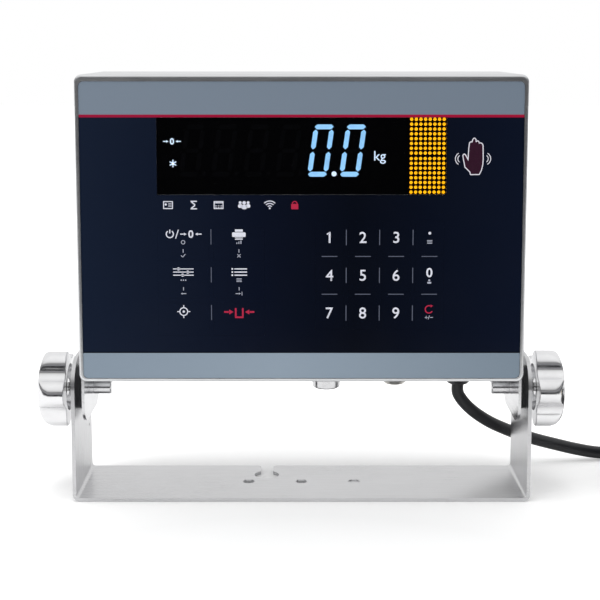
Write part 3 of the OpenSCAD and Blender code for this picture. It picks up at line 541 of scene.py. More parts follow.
plug = block("plug_grip", PLUG_AT - Vector((0, SLEEVE_L + PLUG_L / 2, 0)), (PLUG_W, PLUG_L, PLUG_T))
plug_back = PLUG_AT.y - SLEEVE_L
plug_face = plug_back - PLUG_L
edit(plug)
pick(plug, "EDGE", lambda at, along: abs(along.y) > FACING)
bpy.ops.mesh.bevel(offset=PLUG_CORNER_R, segments=6, profile=0.5)
pick_all()
bpy.ops.mesh.bisect(plane_co=(0, plug_back - PLUG_CORNER_R, 0), plane_no=(0, 1, 0))
pick(plug, "FACE", lambda at, out: out.y > FACING)
bpy.ops.transform.resize(value=PLUG_TAPER, center_override=(PLUG_AT.x, plug_back, PLUG_AT.z))
pick_all()
bpy.ops.mesh.bisect(plane_co=(0, plug_face + 4 * MM, 0), plane_no=(0, 1, 0))
pick(plug, "FACE", lambda at, out: abs(out.x) > FACING and plug_face + 5 * MM < at.y < plug_back - 7 * MM)
bpy.ops.mesh.inset(thickness=DISH_RIM, depth=-DISH_DEPTH, use_individual=True)
done()
ease_edges(plug, 0.5 * MM, 3, 25)
plug = join("mains_plug", plug, sleeve)
finish(plug, plug_rubber, 40)
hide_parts("plug_body")
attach(plug, "bracket")

BLADE_T = 1.5 * MM
BLADE_W = 6.3 * MM
PIN_L = 17.5 * MM
PIN_IN = 1 * MM
BLADE_Z = 47.5 * MM
EARTH_Z = 35.56 * MM
EARTH_DIA = 4.8 * MM
BLADE_APART = 12.7 * MM
BLADE_HOLE_DIA = 3 * MM
BLADE_HOLE_IN = 3.6 * MM

pin_brass = grained("pin_brass", (0.68, 0.50, 0.24, 1), (0.80, 0.62, 0.33, 1), (300, (1, 0.05, 1)),
                    (0.2, 0.32), (200,), metallic=1)

blades = []
for side in (-1, 1):
    middle = (PLUG_AT.x + side * BLADE_APART / 2, plug_face - (PIN_L - PIN_IN) / 2, BLADE_Z)
    blade = block("plug_blade", middle, (BLADE_T, PIN_L + PIN_IN, BLADE_W))
    edit(blade)
    pick(blade, "FACE", lambda at, out: out.y < -FACING)
    bpy.ops.mesh.bevel(offset=0.5 * MM, segments=2)
    done()
    hole_at = (middle[0], plug_face - PIN_L + BLADE_HOLE_IN, BLADE_Z)
    cut_away(blade, rod("blade_hole", BLADE_HOLE_DIA, 4 * MM, hole_at, (1, 0, 0), 20))
    blades.append(blade)
earth = turned("earth_pin", ((-PIN_IN, EARTH_DIA / 2), (PIN_L - 2 * MM, EARTH_DIA / 2),
                             (PIN_L - 0.8 * MM, EARTH_DIA * 0.4), (PIN_L, EARTH_DIA * 0.2)),
               Vector((PLUG_AT.x, plug_face, EARTH_Z)), (0, -1, 0), 24)
pins = join("plug_contacts", *blades, earth)
finish(pins, pin_brass, 40)
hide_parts("plug_pins")
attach(pins, "bracket")

# Tie: a black nylon hook-and-loop strap, 12 mm wide, passed once round the coil and closed on itself.
# It lies under the bottom turns and over the top ones.
tie_low, tie_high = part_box("cord_tie")
TIE_T = 0.8 * MM
TIE_CORNER_R = 1.6 * MM
OVERLAP_Z = 14 * MM
OVERLAP_L = 15 * MM

tie_weave, tree, shader = new_finish("tie_weave", rough=0.85)
tint(tree, shader, grain(tree, 260, detail=5), ink(26, 26, 28), ink(44, 44, 48))
weave = add_node(tree, "ShaderNodeTexWave", bands_direction="Y")
weave.inputs["Scale"].default_value = 500
weave.inputs["Distortion"].default_value = 1.5
place = add_node(tree, "ShaderNodeTexCoord")
tree.links.new(place.outputs["Object"], weave.inputs["Vector"])
relief(tree, shader, weave.outputs["Fac"], 0.15 * MM, 0.6)

bpy.ops.mesh.primitive_plane_add(size=1, location=(tie_low + tie_high) / 2, rotation=(math.pi / 2, 0, 0))
bpy.context.object.scale = (tie_high.x - tie_low.x, tie_high.z - tie_low.z, 1)
tie = settle("coil_tie")
edit(tie)
bpy.ops.mesh.select_mode(type="EDGE")
pick_all()
bpy.ops.mesh.bevel(offset=TIE_CORNER_R, segments=5, affect="VERTICES")
pick_all()
bpy.ops.mesh.delete(type="ONLY_FACE")
pick_all()
extrude(0, tie_high.y - tie_low.y, 0)
pick_all()
bpy.ops.transform.translate(value=(0, (tie_low.y - tie_high.y) / 2, 0))
bpy.ops.mesh.normals_make_consistent(inside=False)
done()
modify(tie, "SOLIDIFY", thickness=TIE_T, offset=-1, use_even_offset=True)
overlap = block("tie_overlap", (tie_low.x + TIE_T * 0.2, (tie_low.y + tie_high.y) / 2, OVERLAP_Z),
                (TIE_T * 1.6, (tie_high.y - tie_low.y) * 0.98, OVERLAP_L))
ease_edges(overlap, 0.3 * MM, angle=40)
tie = join("coil_tie", tie, overlap)
ease_edges(tie, 0.15 * MM)
finish(tie, tie_weave, 40)
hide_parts("cord_tie")
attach(tie, "bracket")

# Mounting bracket: one strip of 2 mm stainless steel, cut to shape, satin ground and bent up at both ends.
# It stands on the bench or is screwed to a wall by the three holes and the keyhole in its base.
bracket_low, bracket_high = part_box("mounting_bracket")
BRACKET_T = 2 * MM
BEND_R = 4 * MM
ARM_HEAD_R = 16 * MM
ARM_HOLE_DIA = 5.6 * MM
PIVOT_Y = -12 * MM
PIVOT_Z = 57.2 * MM
BASE_HOLE_DIA = 6 * MM
BASE_HOLES_X = (-30 * MM, 0, 30 * MM)
COUNTERSINK_DIA = 7.62 * MM
COUNTERSINK_D = 0.6 * MM
KEYHOLE_AT = Vector((-20, -0.6, 0)) * MM
KEYHOLE_R = 7 * MM
KEYHOLE_SLOT_W = 7 * MM
KEYHOLE_MOUTH_R = 2.5 * MM
STOP_HOLE_DIA = 1.7 * MM
STOP_HOLE_AT = (8 * MM, 29.4 * MM)
SIDES = (("left", -1), ("right", 1))


def on_pivot(x):
    """The point of the tilting axis at that x."""
    return Vector((x, PIVOT_Y, PIVOT_Z))


def steel_finish(name, dark, light, rough_low, rough_high, scratches=0.5):
    """Satin ground stainless steel. Its grain runs along X on faces that look up, down, forward or back, and
    upright on faces that look to the side; broad pale and dull clouds come from handling."""
    material, tree, shader = new_finish(name, metallic=1)
    facing = add_node(tree, "ShaderNodeNewGeometry")
    parts = add_node(tree, "ShaderNodeSeparateXYZ")
    tree.links.new(facing.outputs["Normal"], parts.inputs["Vector"])
    sideways = add_node(tree, "ShaderNodeMath", operation="ABSOLUTE")
    tree.links.new(parts.outputs["X"], sideways.inputs[0])
    along = add_node(tree, "ShaderNodeMix", data_type="FLOAT")
    tree.links.new(spread(tree, sideways.outputs[0], 0.5, 0.8), along.inputs["Factor"])
    tree.links.new(grain(tree, 1500, (0.02, 1, 1), 4, 0.7), along.inputs["A"])
    tree.links.new(grain(tree, 1500, (1, 1, 0.02), 4, 0.7), along.inputs["B"])
    clouds = grain(tree, 14, EVEN, 4, 0.6)
    blend = add_node(tree, "ShaderNodeMix", data_type="FLOAT")
    blend.inputs["Factor"].default_value = 0.45
    tree.links.new(along.outputs["Result"], blend.inputs["A"])
    tree.links.new(clouds, blend.inputs["B"])
    tint(tree, shader, blend.outputs["Result"], dark, light, 0.36, 0.64)
    dull(tree, shader, blend.outputs["Result"], rough_low, rough_high)
    relief(tree, shader, along.outputs["Result"], 0.02 * MM, scratches)
    return material


bracket_steel = steel_finish("bracket_steel", (0.58, 0.58, 0.59, 1), (0.69, 0.69, 0.70, 1), 0.24, 0.34, 0.3)

flat_x = bracket_high.x - BEND_R
depth = bracket_high.y - bracket_low.y
mid_y = (bracket_high.y + bracket_low.y) / 2
bpy.ops.mesh.primitive_plane_add(size=1, location=(0, mid_y, 0))
bpy.context.object.scale = (2 * flat_x, depth, 1)
bracket = settle("bracket")
edit(bracket)
for side in (-1, 1):
    pick(bracket, "EDGE", lambda at, along: abs(at.x - side * flat_x) < CLOSE)
    bpy.ops.mesh.spin(steps=8, angle=side * math.pi / 2, center=(side * flat_x, mid_y, BEND_R),
                      axis=(0, 1, 0))
    pick(bracket, "EDGE", lambda at, along: at.x * side > bracket_high.x - CLOSE and abs(along.y) > FACING)
    extrude(0, 0, bracket_high.z - BEND_R)
pick_all()
bpy.ops.mesh.remove_doubles(threshold=CLOSE)
pick(bracket, "VERT", lambda at, out: at.z > bracket_high.z - CLOSE)
bpy.ops.mesh.bevel(offset=ARM_HEAD_R, segments=14, affect="VERTICES")
pick_all()
bpy.ops.mesh.normals_make_consistent(inside=True)
done()
modify(bracket, "SOLIDIFY", thickness=BRACKET_T, offset=1, use_even_offset=True)

for hole_x in BASE_HOLES_X:
    sink = rod("sink", COUNTERSINK_DIA, 2 * COUNTERSINK_D, (hole_x, PIVOT_Y, BRACKET_T), (0, 0, 1))
    edit(sink)
    pick(sink, "FACE", lambda at, out: out.z < -FACING)
    bpy.ops.transform.resize(value=(BASE_HOLE_DIA / COUNTERSINK_DIA,) * 2 + (1,),
                             center_override=(hole_x, PIVOT_Y, 0))
    done()
    cut_away(bracket, rod("hole", BASE_HOLE_DIA, 4 * BRACKET_T, (hole_x, PIVOT_Y, 0), (0, 0, 1)), sink)
cut_away(bracket, rod("arm_holes", ARM_HOLE_DIA, 3 * bracket_high.x, on_pivot(0), (1, 0, 0)),
         rod("stop_holes", STOP_HOLE_DIA, 3 * bracket_high.x, (0, *STOP_HOLE_AT), (1, 0, 0), 24),
         rod("keyhole", 2 * KEYHOLE_R, 4 * BRACKET_T, KEYHOLE_AT, (0, 0, 1)))
slot_end = bracket_high.y + 1 * MM
slot_cutter = block("slot_cutter", (KEYHOLE_AT.x, (KEYHOLE_AT.y + slot_end) / 2, 0),
                    (KEYHOLE_SLOT_W, slot_end - KEYHOLE_AT.y, 4 * BRACKET_T))
edit(slot_cutter)
for step in range(1, 9):
    level = bracket_high.y - KEYHOLE_MOUTH_R * (1 - step / 8)
    pick_all()
    bpy.ops.mesh.bisect(plane_co=(0, level, 0), plane_no=(0, 1, 0))
done()
for vertex in slot_cutter.data.vertices:
    into = min(max(vertex.co.y - bracket_high.y + KEYHOLE_MOUTH_R, 0), KEYHOLE_MOUTH_R)
    flare = KEYHOLE_MOUTH_R - math.sqrt(KEYHOLE_MOUTH_R ** 2 - into ** 2)
    vertex.co.x += math.copysign(flare, vertex.co.x - KEYHOLE_AT.x)
cut_away(bracket, slot_cutter)
ease_edges(bracket, 0.25 * MM)
finish(bracket, bracket_steel, 30)
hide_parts("mounting_bracket")
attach(bracket, "bracket")

# Spacers: black nylon discs between each arm and its lug, turned, with a shallow groove near the rim.
# They take the rubbing when the indicator is tilted, and stay with the bracket.
GROOVE_D = 0.5 * MM

spacer_nylon = grained("spacer_nylon", ink(90, 91, 94), ink(104, 105, 109), (200,), (0.45, 0.6), (60,),
                       (0.03 * MM, 0.3), (900,))

for side, end in SIDES:
    low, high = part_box("spacer_" + side)
    inner = low.x if end > 0 else high.x
    radius = (high.z - low.z) / 2
    thick = high.x - low.x
    floor_r = radius - GROOVE_D
    profile = ((0, radius), (thick * 0.3, radius), (thick * 0.3, floor_r),
               (thick * 0.7, floor_r), (thick * 0.7, radius), (thick, radius))
    spacer = turned("spacer_disc_" + side, profile, on_pivot(inner), (end, 0, 0), 64)
    cut_away(spacer, rod("bore", ARM_HOLE_DIA, 3 * thick, on_pivot(inner), (1, 0, 0)))
    ease_edges(spacer, 0.2 * MM)
    finish(spacer, spacer_nylon)
    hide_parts("spacer_" + side)
    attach(spacer, "bracket")

# Clamping knobs: zinc castings with five lobes, polished and chrome plated, hollow at the back round a hub.
# The outer face is domed. Each turns with its stud against a collar with two grooves and a spring washer.
KNOB_R = 22 * MM
KNOB_LOBES = 5
LOBE_R = 7.5 * MM
FLUTE_R = 6.157 * MM
FLUTE_MID_R = 22.4 * MM
KNOB_EDGE_R = 6 * MM
KNOB_RECESS_R = 13.5 * MM
KNOB_RECESS_D = 4 * MM
RECESS_DRAFT = 0.94
RIGHT_KNOB_TURN = math.radians(5)
COLLAR_DIA = 9.8 * MM
COLLAR_R = COLLAR_DIA / 2
COLLAR_L = 5.4 * MM
COLLAR_BORE_DIA = 5.4 * MM
SPRING_R = 4.3 * MM
HUB_START = 131.8 * MM
KNOB_CROWN = 1.6 * MM
FACE_RINGS = 6
KNOB_BLEND = 0.5 * MM
KNOB_BACK_R = 0.7 * MM
EDGE_STEPS = 9

def refinish(material, *nodes):
    """Gives the model's own solids a finish."""
    for node in nodes:
        frame["nodes"][node].material_slots[0].material = material


chrome = grained("knob_chrome", (0.80, 0.80, 0.81, 1), (0.89, 0.89, 0.90, 1), (60, EVEN, 4),
                 (0.14, 0.24, 0.35), (110, EVEN, 5), (0.5 * MM, 0.12), (45, EVEN, 2), metallic=1)

turned_steel = grained("turned_steel", (0.58, 0.58, 0.58, 1), (0.74, 0.74, 0.74, 1), (800, (1, 0.1, 0.1)),
                       (0.18, 0.3), (300,), metallic=1)

# A lobe's circle touches that of the flute next to it: each arc sweeps from its middle to that point.
LOBE_MID_R = KNOB_R - LOBE_R
between = math.pi / KNOB_LOBES
lobe_at = Vector((LOBE_MID_R, 0))
flute_at = Vector((FLUTE_MID_R * math.cos(between), FLUTE_MID_R * math.sin(between)))
lobe_sweep = math.atan2((flute_at - lobe_at).y, (flute_at - lobe_at).x)
flute_sweep = lobe_sweep - between


def knob_outline(steps_lobe=9, steps_flute=6):
    """The knob's outline about its axis: lobes and flutes that run into each other."""
    points = []
    for i in range(KNOB_LOBES):
        turn = Matrix.Rotation(i * 2 * between, 2)
        for k in range(-steps_lobe, steps_lobe + 1):
            angle = lobe_sweep * k / steps_lobe
            points.append(turn @ (lobe_at + LOBE_R * Vector((math.cos(angle), math.sin(angle)))))
        flute_turn = Matrix.Rotation((2 * i + 1) * between, 2)
        for k in range(1 - steps_flute, steps_flute):
            angle = math.pi + flute_sweep * k / steps_flute
            inward = FLUTE_R * Vector((math.cos(angle), -math.sin(angle)))
            points.append(flute_turn @ (Vector((FLUTE_MID_R, 0)) + inward))
    return points


def rounded_reach(reach, height, thick):
    """How far out the knob's surface is at a height: its outline, turned round at the outer edge and
    broken a little at the back edge, with a soft change from one to the other."""
    over = height - (thick - KNOB_EDGE_R)
    if over > 0:
        shoulder = KNOB_R - KNOB_EDGE_R + math.sqrt(max(KNOB_EDGE_R ** 2 - over ** 2, 0))
        reach = -math.log(math.exp(-reach / KNOB_BLEND) + math.exp(-shoulder / KNOB_BLEND)) * KNOB_BLEND
    return reach - max(KNOB_BACK_R - height, 0) * 0.8


for side, end, knob_turn in (("left", -1, 0), ("right", 1, RIGHT_KNOB_TURN)):
    low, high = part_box("knob_" + side)
    back, tip = sorted((abs(low.x), abs(high.x)))
    thick = tip - back
    outline = knob_outline()
    bpy.ops.mesh.primitive_circle_add(vertices=len(outline), radius=KNOB_R, fill_type="NGON")
    knob = settle("clamping_knob_" + side)
    for vertex, point in zip(knob.data.vertices, outline):
        vertex.co = (point.x, point.y, 0)
    levels = [KNOB_BACK_R / 2, KNOB_BACK_R, thick * 0.3, thick * 0.5, thick - KNOB_EDGE_R]
    levels += [thick - KNOB_EDGE_R * (1 - math.sin(math.pi / 2 * i / EDGE_STEPS))
               for i in range(1, EDGE_STEPS + 1)]
    edit(knob)
    reached = 0
    for level in levels:
        pick(knob, "FACE", lambda at, out: at.z > reached - CLOSE / 10 and abs(out.z) > FACING)
        extrude(0, 0, level - reached)
        reached = level
    pick_all()
    bpy.ops.mesh.normals_make_consistent(inside=False)
    done()
    for vertex in knob.data.vertices:
        reach = vertex.co.xy.length
        vertex.co.xy *= rounded_reach(reach, vertex.co.z, thick) / reach
    edit(knob)
    pick(knob, "FACE", lambda at, out: at.z > thick - CLOSE and out.z > FACING)
    for ring in range(FACE_RINGS, 0, -1):
        extrude(0, 0, 0)
        bpy.ops.transform.resize(value=(ring / (ring + 1),) * 2 + (1,), center_override=(0, 0, thick))
    bpy.ops.mesh.poke()
    done()
    for vertex in knob.data.vertices:
        vertex.co.z -= KNOB_CROWN * (vertex.co.xy.length / (KNOB_R - KNOB_EDGE_R)) ** 2 * vertex.co.z / thick
    recess = rod("recess", 2 * KNOB_RECESS_R, 2 * KNOB_RECESS_D, (0, 0, 0), (0, 0, 1), 64)
    edit(recess)
    pick(recess, "FACE", lambda at, out: out.z > FACING)
    bpy.ops.transform.resize(value=(RECESS_DRAFT, RECESS_DRAFT, 1), center_override=(0, 0, KNOB_RECESS_D))
    done()
    cut_away(knob, recess)
    hub_l = HUB_START - back
    profile = ((hub_l, COLLAR_R - 0.4 * MM), (hub_l + 0.4 * MM, COLLAR_R),
               (KNOB_RECESS_D + 0.5 * MM, COLLAR_R))
    hub = turned("knob_hub", profile, Vector((0, 0, 0)), (0, 0, 1), 40)
    knob = join("clamping_knob_" + side, knob, hub)
    ease_edges(knob, 0.3 * MM)
    outward = Vector((end, 0, 0))
    front = Vector((0, -1, 0))
    stance = Matrix((front, outward.cross(front), outward)).transposed().to_4x4()
    knob.data.transform(Matrix.Translation(on_pivot(end * back)) @ stance
                        @ Matrix.Rotation(-end * knob_turn, 4, "Z"))
    finish(knob, chrome, 42)
    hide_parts("knob_" + side)
    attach(knob, "knob_" + side)
    refinish(turned_steel, "knob_stud_" + side)

    seat = bracket_high.x
    pivot = on_pivot(end * seat)
    groove_r = COLLAR_R - 0.7 * MM
    profile = ((0, COLLAR_R - 0.3 * MM), (0.3 * MM, COLLAR_R), (1.3 * MM, COLLAR_R), (1.3 * MM, groove_r),
               (1.9 * MM, groove_r), (1.9 * MM, COLLAR_R), (3.2 * MM, COLLAR_R), (3.2 * MM, groove_r),
               (3.8 * MM, groove_r), (3.8 * MM, COLLAR_R), (COLLAR_L, COLLAR_R))
    collar = turned("collar", profile, pivot, (end, 0, 0), 48)
    profile = ((COLLAR_L, SPRING_R), (HUB_START - seat, SPRING_R))
    spring = turned("spring_washer", profile, pivot, (end, 0, 0), 48)
    split_at = (end * (seat + COLLAR_L + 0.45 * MM), PIVOT_Y - 4 * MM, PIVOT_Z)
    cut_away(spring, block("split", split_at, (2 * MM, 2.4 * MM, 0.5 * MM)))
    washers = join("collar_and_spring_" + side, collar, spring)
    cut_away(washers, rod("bore", COLLAR_BORE_DIA, 30 * MM, on_pivot(end * seat), (1, 0, 0)))
    ease_edges(washers, 0.15 * MM)
    finish(washers, turned_steel)
    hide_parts("washers_" + side)
    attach(washers, "washers_" + side)

# Pivot lugs and bushes: a stainless plate let into each side of the housing and welded there, and a turned
# bush pressed through it that takes the knob's stud. Both are polished.
BUSH_BORE_DIA = 5.2 * MM
BUSH_BORE_L = 21.2 * MM

polished_steel = grained("polished_steel", (0.62, 0.62, 0.63, 1), (0.72, 0.72, 0.73, 1), (40, EVEN, 4),
                         (0.12, 0.24), (900, (1, 0.03, 1)), (0.01 * MM, 0.3), (900, (1, 0.03, 1)),
                         metallic=1)

for side, end in SIDES:
    refinish(polished_steel, "pivot_lug_" + side)
    low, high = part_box("pivot_bush_" + side)
    radius = (high.z - low.z) / 2
    length = high.x - low.x
    outer = high.x if end > 0 else low.x
    groove_r = radius - 0.25 * MM
    profile = ((0, radius), (2.2 * MM, radius), (2.2 * MM, groove_r), (2.8 * MM, groove_r),
               (2.8 * MM, radius), (length - 0.5 * MM, radius), (length, radius - 0.5 * MM))
    bush = turned("pivot_bush_turned_" + side, profile, on_pivot(outer), (-end, 0, 0), 48)
    cut_away(bush, rod("thread", BUSH_BORE_DIA, BUSH_BORE_L, on_pivot(outer), (1, 0, 0)))
    ease_edges(bush, 0.12 * MM)
    finish(bush, polished_steel)
    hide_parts("pivot_bush_" + side)
    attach(bush, "housing")

# Housing: a welded stainless box with a screwed front frame and a thin rubber gasket between them, satin
# ground all over. The frame's edge is rounded over to the recess that the front film lies in.
housing_steel = steel_finish("housing_steel", (0.69, 0.70, 0.71, 1), (0.82, 0.83, 0.84, 1), 0.26, 0.38, 0.35)
refinish(housing_steel, "front_bezel", "rear_housing")

seal_rubber = grained("seal_rubber", ink(36, 36, 38), ink(50, 50, 52), (300,), (0.55, 0.7), (500,))
refinish(seal_rubber, "housing_gasket", "screw_seals")

# Cover screws: six socket heads of stainless steel at the back, each on its rubber washer, that run through
# the cover into the posts and pull the two halves of the housing together.
HEAD_DIA = 8 * MM
HEAD_H = 3.2 * MM
HEX_W = 4 * MM
SHANK_DIA = 4 * MM

low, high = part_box("cover_screws")
screw_x = high.x - HEAD_DIA / 2
screw_mid_z = (low.z + high.z) / 2
screw_rise = high.z - HEAD_DIA / 2 - screw_mid_z
screw_tip = low.y - high.y
profile = ((screw_tip, SHANK_DIA / 2 - 0.4 * MM), (screw_tip + 0.4 * MM, SHANK_DIA / 2),
           (-HEAD_H, SHANK_DIA / 2), (-HEAD_H, HEAD_DIA / 2), (-0.5 * MM, HEAD_DIA / 2),
           (0, HEAD_DIA / 2 - 0.5 * MM))
head_at = Vector((screw_x, high.y, screw_mid_z))
head = turned("cover_screw", profile, head_at, (0, 1, 0), 40)
cut_away(head, rod("socket", HEX_W / math.cos(math.pi / 6), 4 * MM, head_at, (0, 1, 0), 6))
ease_edges(head, 0.15 * MM)
screws = []
for side in (0, -2):
    for level in (-1, 0, 1):
        screw = head.copy()
        screw.data = head.data.copy()
        bpy.context.scene.collection.objects.link(screw)
        screw.data.transform(Matrix.Translation((side * screw_x, 0, level * screw_rise)))
        screws.append(screw)
bpy.data.objects.remove(head)
screws = join("cover_screw_set", *screws)
finish(screws, turned_steel)
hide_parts("cover_screws")
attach(screws, "housing")

# Front film: one printed polyester sheet in the frame's recess, glossy, with the keys under it. It is slate
# above and below, deep blue between, with a crimson line over the blue and a thin dark one under it.
film_low, film_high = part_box("overlay_panel")
SLATE_TOP = 84.2 * MM
DARK_LINE_TOP = 84.9 * MM
CRIMSON_BOTTOM = 211.1 * MM
CRIMSON_TOP = 212.6 * MM


def mixed(tree, mask, below, above):
    """One tone below an edge and another above it."""
    node = add_node(tree, "ShaderNodeMix", data_type="RGBA")
    tree.links.new(mask, node.inputs["Factor"])
    tree.links.new(below, node.inputs["A"])
    tree.links.new(above, node.inputs["B"])
    return node.outputs["Result"]


front_film, tree, shader = new_finish("front_film", specular=0.12)
place = add_node(tree, "ShaderNodeTexCoord")
parts = add_node(tree, "ShaderNodeSeparateXYZ")
tree.links.new(place.outputs["Object"], parts.inputs["Vector"])
across = spread(tree, parts.outputs["X"], film_low.x, film_high.x)
# The tones are the print's own colours. Their change across the width is painted light: painted highlight and
# painted shade where light falls unevenly across the glossy film.
slate_low = tones(tree, across, ((0, ink(134, 148, 162)), (0.45, ink(142, 156, 170)),
                                 (1, ink(122, 136, 149))))
deep_blue = tones(tree, across, ((0, ink(21, 30, 48)), (0.4, ink(11, 17, 33)), (0.62, ink(7, 11, 22)),
                                 (1, ink(12, 19, 36))))
slate_high = tones(tree, across, ((0, ink(120, 132, 146)), (1, ink(113, 125, 139))))
crimson_line = tones(tree, across, ((0, ink(152, 20, 56)), (1, ink(158, 16, 52))))
dark_line = tones(tree, across, ((0, ink(6, 9, 22)), (1, ink(3, 5, 14))))
colour = slate_low
for edge, zone in ((SLATE_TOP, dark_line), (DARK_LINE_TOP, deep_blue), (CRIMSON_BOTTOM, crimson_line),
                   (CRIMSON_TOP, slate_high)):
    above = spread(tree, parts.outputs["Z"], edge - 0.05 * MM, edge + 0.05 * MM)
    colour = mixed(tree, above, colour, zone)
tree.links.new(colour, shader.inputs["Base Color"])
dull(tree, shader, grain(tree, 25, detail=4), 0.16, 0.24)
relief(tree, shader, grain(tree, 30, detail=2), 0.1 * MM, 0.06)
FUNCTION_KEYS = ("key_power", "key_print", "key_function", "key_menu", "key_target", "key_tare")
NUMBER_KEYS = ("key_1", "key_2", "key_3", "key_point", "key_4", "key_5", "key_6", "key_0",
               "key_7", "key_8", "key_9", "key_clear")
refinish(front_film, "overlay_panel")

# Key pads: the places of the same film that bend in under a finger. Each is cut free in the model by a gap as
# fine as a hair, has softened edges and moves in by the dome's short travel.
PAD_GROWTH = 0.24 * MM

for key in (*FUNCTION_KEYS, *NUMBER_KEYS):
    low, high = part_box(key)
    middle = (low + high) / 2
    pad = frame["nodes"][key].copy()
    pad.data = frame["nodes"][key].data.copy()
    pad.parent = None
    bpy.context.scene.collection.objects.link(pad)
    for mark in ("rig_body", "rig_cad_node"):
        del pad[mark]
    pad.name = "pad_" + key
    edit(pad)
    pick_all()
    bpy.ops.mesh.remove_doubles(threshold=CLOSE)
    bpy.ops.mesh.dissolve_limited(angle_limit=math.radians(1))
    bpy.ops.transform.resize(value=(1 + PAD_GROWTH / (high.x - low.x), 1, 1 + PAD_GROWTH / (high.z - low.z)),
                             center_override=middle)
    done()
    ease_edges(pad, 0.04 * MM)
    finish(pad, front_film)
    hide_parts(key)
    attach(pad, key)

# Key legends: screen printed on the film in pale grey, numbers on the number keys and plain signs on the
# others, with thin grey rules between the keys. Each legend moves with its key.
PRINT_T = 0.04 * MM
LABEL_UP = 5.3 * MM
DIGIT_SIZE = 8.5 * MM
DIGIT_WEIGHT = 0.07 * MM


def print_ink(name, colour):
    """Printing ink: matt, a little uneven in its cover."""
    material, tree, shader = new_finish(name, specular=0.3)
    faded = [channel * 0.88 for channel in colour[:3]] + [1]
    tint(tree, shader, grain(tree, 500, detail=4), faded, colour)
    dull(tree, shader, grain(tree, 800), 0.35, 0.5)
    return material


pale_ink = print_ink("pale_ink", ink(226, 228, 240))
grey_ink = print_ink("grey_ink", ink(92, 98, 116))
soft_ink = print_ink("soft_ink", ink(176, 180, 196))
crimson_ink = print_ink("crimson_ink", ink(186, 26, 66))


def bar(x, z, wide, high, turn=0):
    """A straight mark on the film, its middle at x, z in millimetres, turned by so many degrees."""
    bpy.ops.mesh.primitive_plane_add(size=1, location=(x * MM, film_low.y, z * MM),
                                     rotation=(math.pi / 2, math.radians(turn), 0))
    bpy.context.object.scale = (wide * MM, high * MM, 1)
    return settle("bar")


def pill(x, z, wide, high, corner, steps=5):
    """A bar with round corners, or with cut ones where they have one step."""
    mark = bar(x, z, wide, high)
    edit(mark)
    pick_all()
    bpy.ops.mesh.bevel(offset=corner * MM, segments=steps, affect="VERTICES")
    done()
    return mark


def disc(x, z, radius, sides=24, turn=0):
    bpy.ops.mesh.primitive_circle_add(vertices=sides, radius=radius * MM, fill_type="NGON",
                                      location=(x * MM, film_low.y, z * MM),
                                      rotation=(math.pi / 2, math.radians(turn), 0))
    return settle("disc")


def arc(x, z, radius, width, start=0, sweep=360):
    """Part of a ring, from start on through sweep, in degrees anticlockwise from the right."""
    mark = bar(x + radius, z, width, width)
    edit(mark)
    pick(mark, "EDGE", lambda at, along: at.z < z * MM - width * 0.49 * MM)
    bpy.ops.mesh.select_all(action="INVERT")
    bpy.ops.mesh.delete(type="EDGE")
    pick_all()
    bpy.ops.transform.translate(value=(0, 0, width / 2 * MM))
    bpy.ops.mesh.spin(steps=max(6, round(abs(sweep) / 12)), angle=math.radians(sweep), axis=(0, 1, 0),
                      center=(x * MM, film_low.y, z * MM))
    pick_all()
    bpy.ops.mesh.remove_doubles(threshold=CLOSE)
    done()
    middle = Vector((x * MM, film_low.y, z * MM))
    mark.data.transform(Matrix.Translation(middle) @ Matrix.Rotation(-math.radians(start), 4, "Y")
                        @ Matrix.Translation(-middle))
    return mark


def arrow(x, z, length, height, way):
    """An arrow, its middle at x, z, that points right where way is 1 and left where it is -1."""
    head = height * 0.62
    return [bar(x - way * head / 2, z, length - head, height * 0.24),
            disc(x + way * (length / 2 - head * 0.62), z, head * 0.62, 3, 90 * way)]


def figure(body, x, z, size, weight=0.14 * MM):
    """A numeral on the film, its middle at x, z."""
    bpy.ops.object.text_add(location=(x * MM, film_low.y, z * MM), rotation=(math.pi / 2, 0, 0))
    text = bpy.context.object
    text.data.body = body
    text.data.size = size
    text.data.align_x = "CENTER"
    text.data.align_y = "CENTER"
    text.data.offset = weight
    text.data.resolution_u = 4
    bpy.ops.object.convert(target="MESH")
    mark = settle("figure")
    low_x, high_x = (limit(v.co.x for v in mark.data.vertices) for limit in (min, max))
    low_z, high_z = (limit(v.co.z for v in mark.data.vertices) for limit in (min, max))
    mark.data.transform(Matrix.Translation((x * MM - (low_x + high_x) / 2, 0, z * MM - (low_z + high_z) / 2)))
    return mark


def printed(name, body, material, marks, thick=PRINT_T):
    """Joins flat marks into one print that stands forward of the film and moves with a body."""
    piece = join(name, *marks)
    edit(piece)
    pick(piece, "FACE", lambda at, out: out.y > 0)
    bpy.ops.mesh.flip_normals()
    done()
    modify(piece, "SOLIDIFY", thickness=thick, offset=1)
    dress(piece, material)
    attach(piece, body)
    return piece


def middle_of(node):
    low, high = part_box(node)
    return (low.x + high.x) / 2 / MM, (low.z + high.z) / 2 / MM


def zero(x, z, size):
    return figure("0", x, z, size)


def drawn(sign, x, z):
    """The marks of a sign with its middle at x, z. Each is a shape, its place from there and its sizes."""
    marks = []
    for shape, across, up, *sizes in SIGNS[sign]:
        made = shape(x + across, z + up, *sizes)
        marks += made if shape == arrow else [made]
    return marks


def legend(key, material, marks):
    printed("legend_" + key, key, material, marks)


def small_legend(key, marks):
    printed("small_legend_" + key, key, soft_ink, marks)


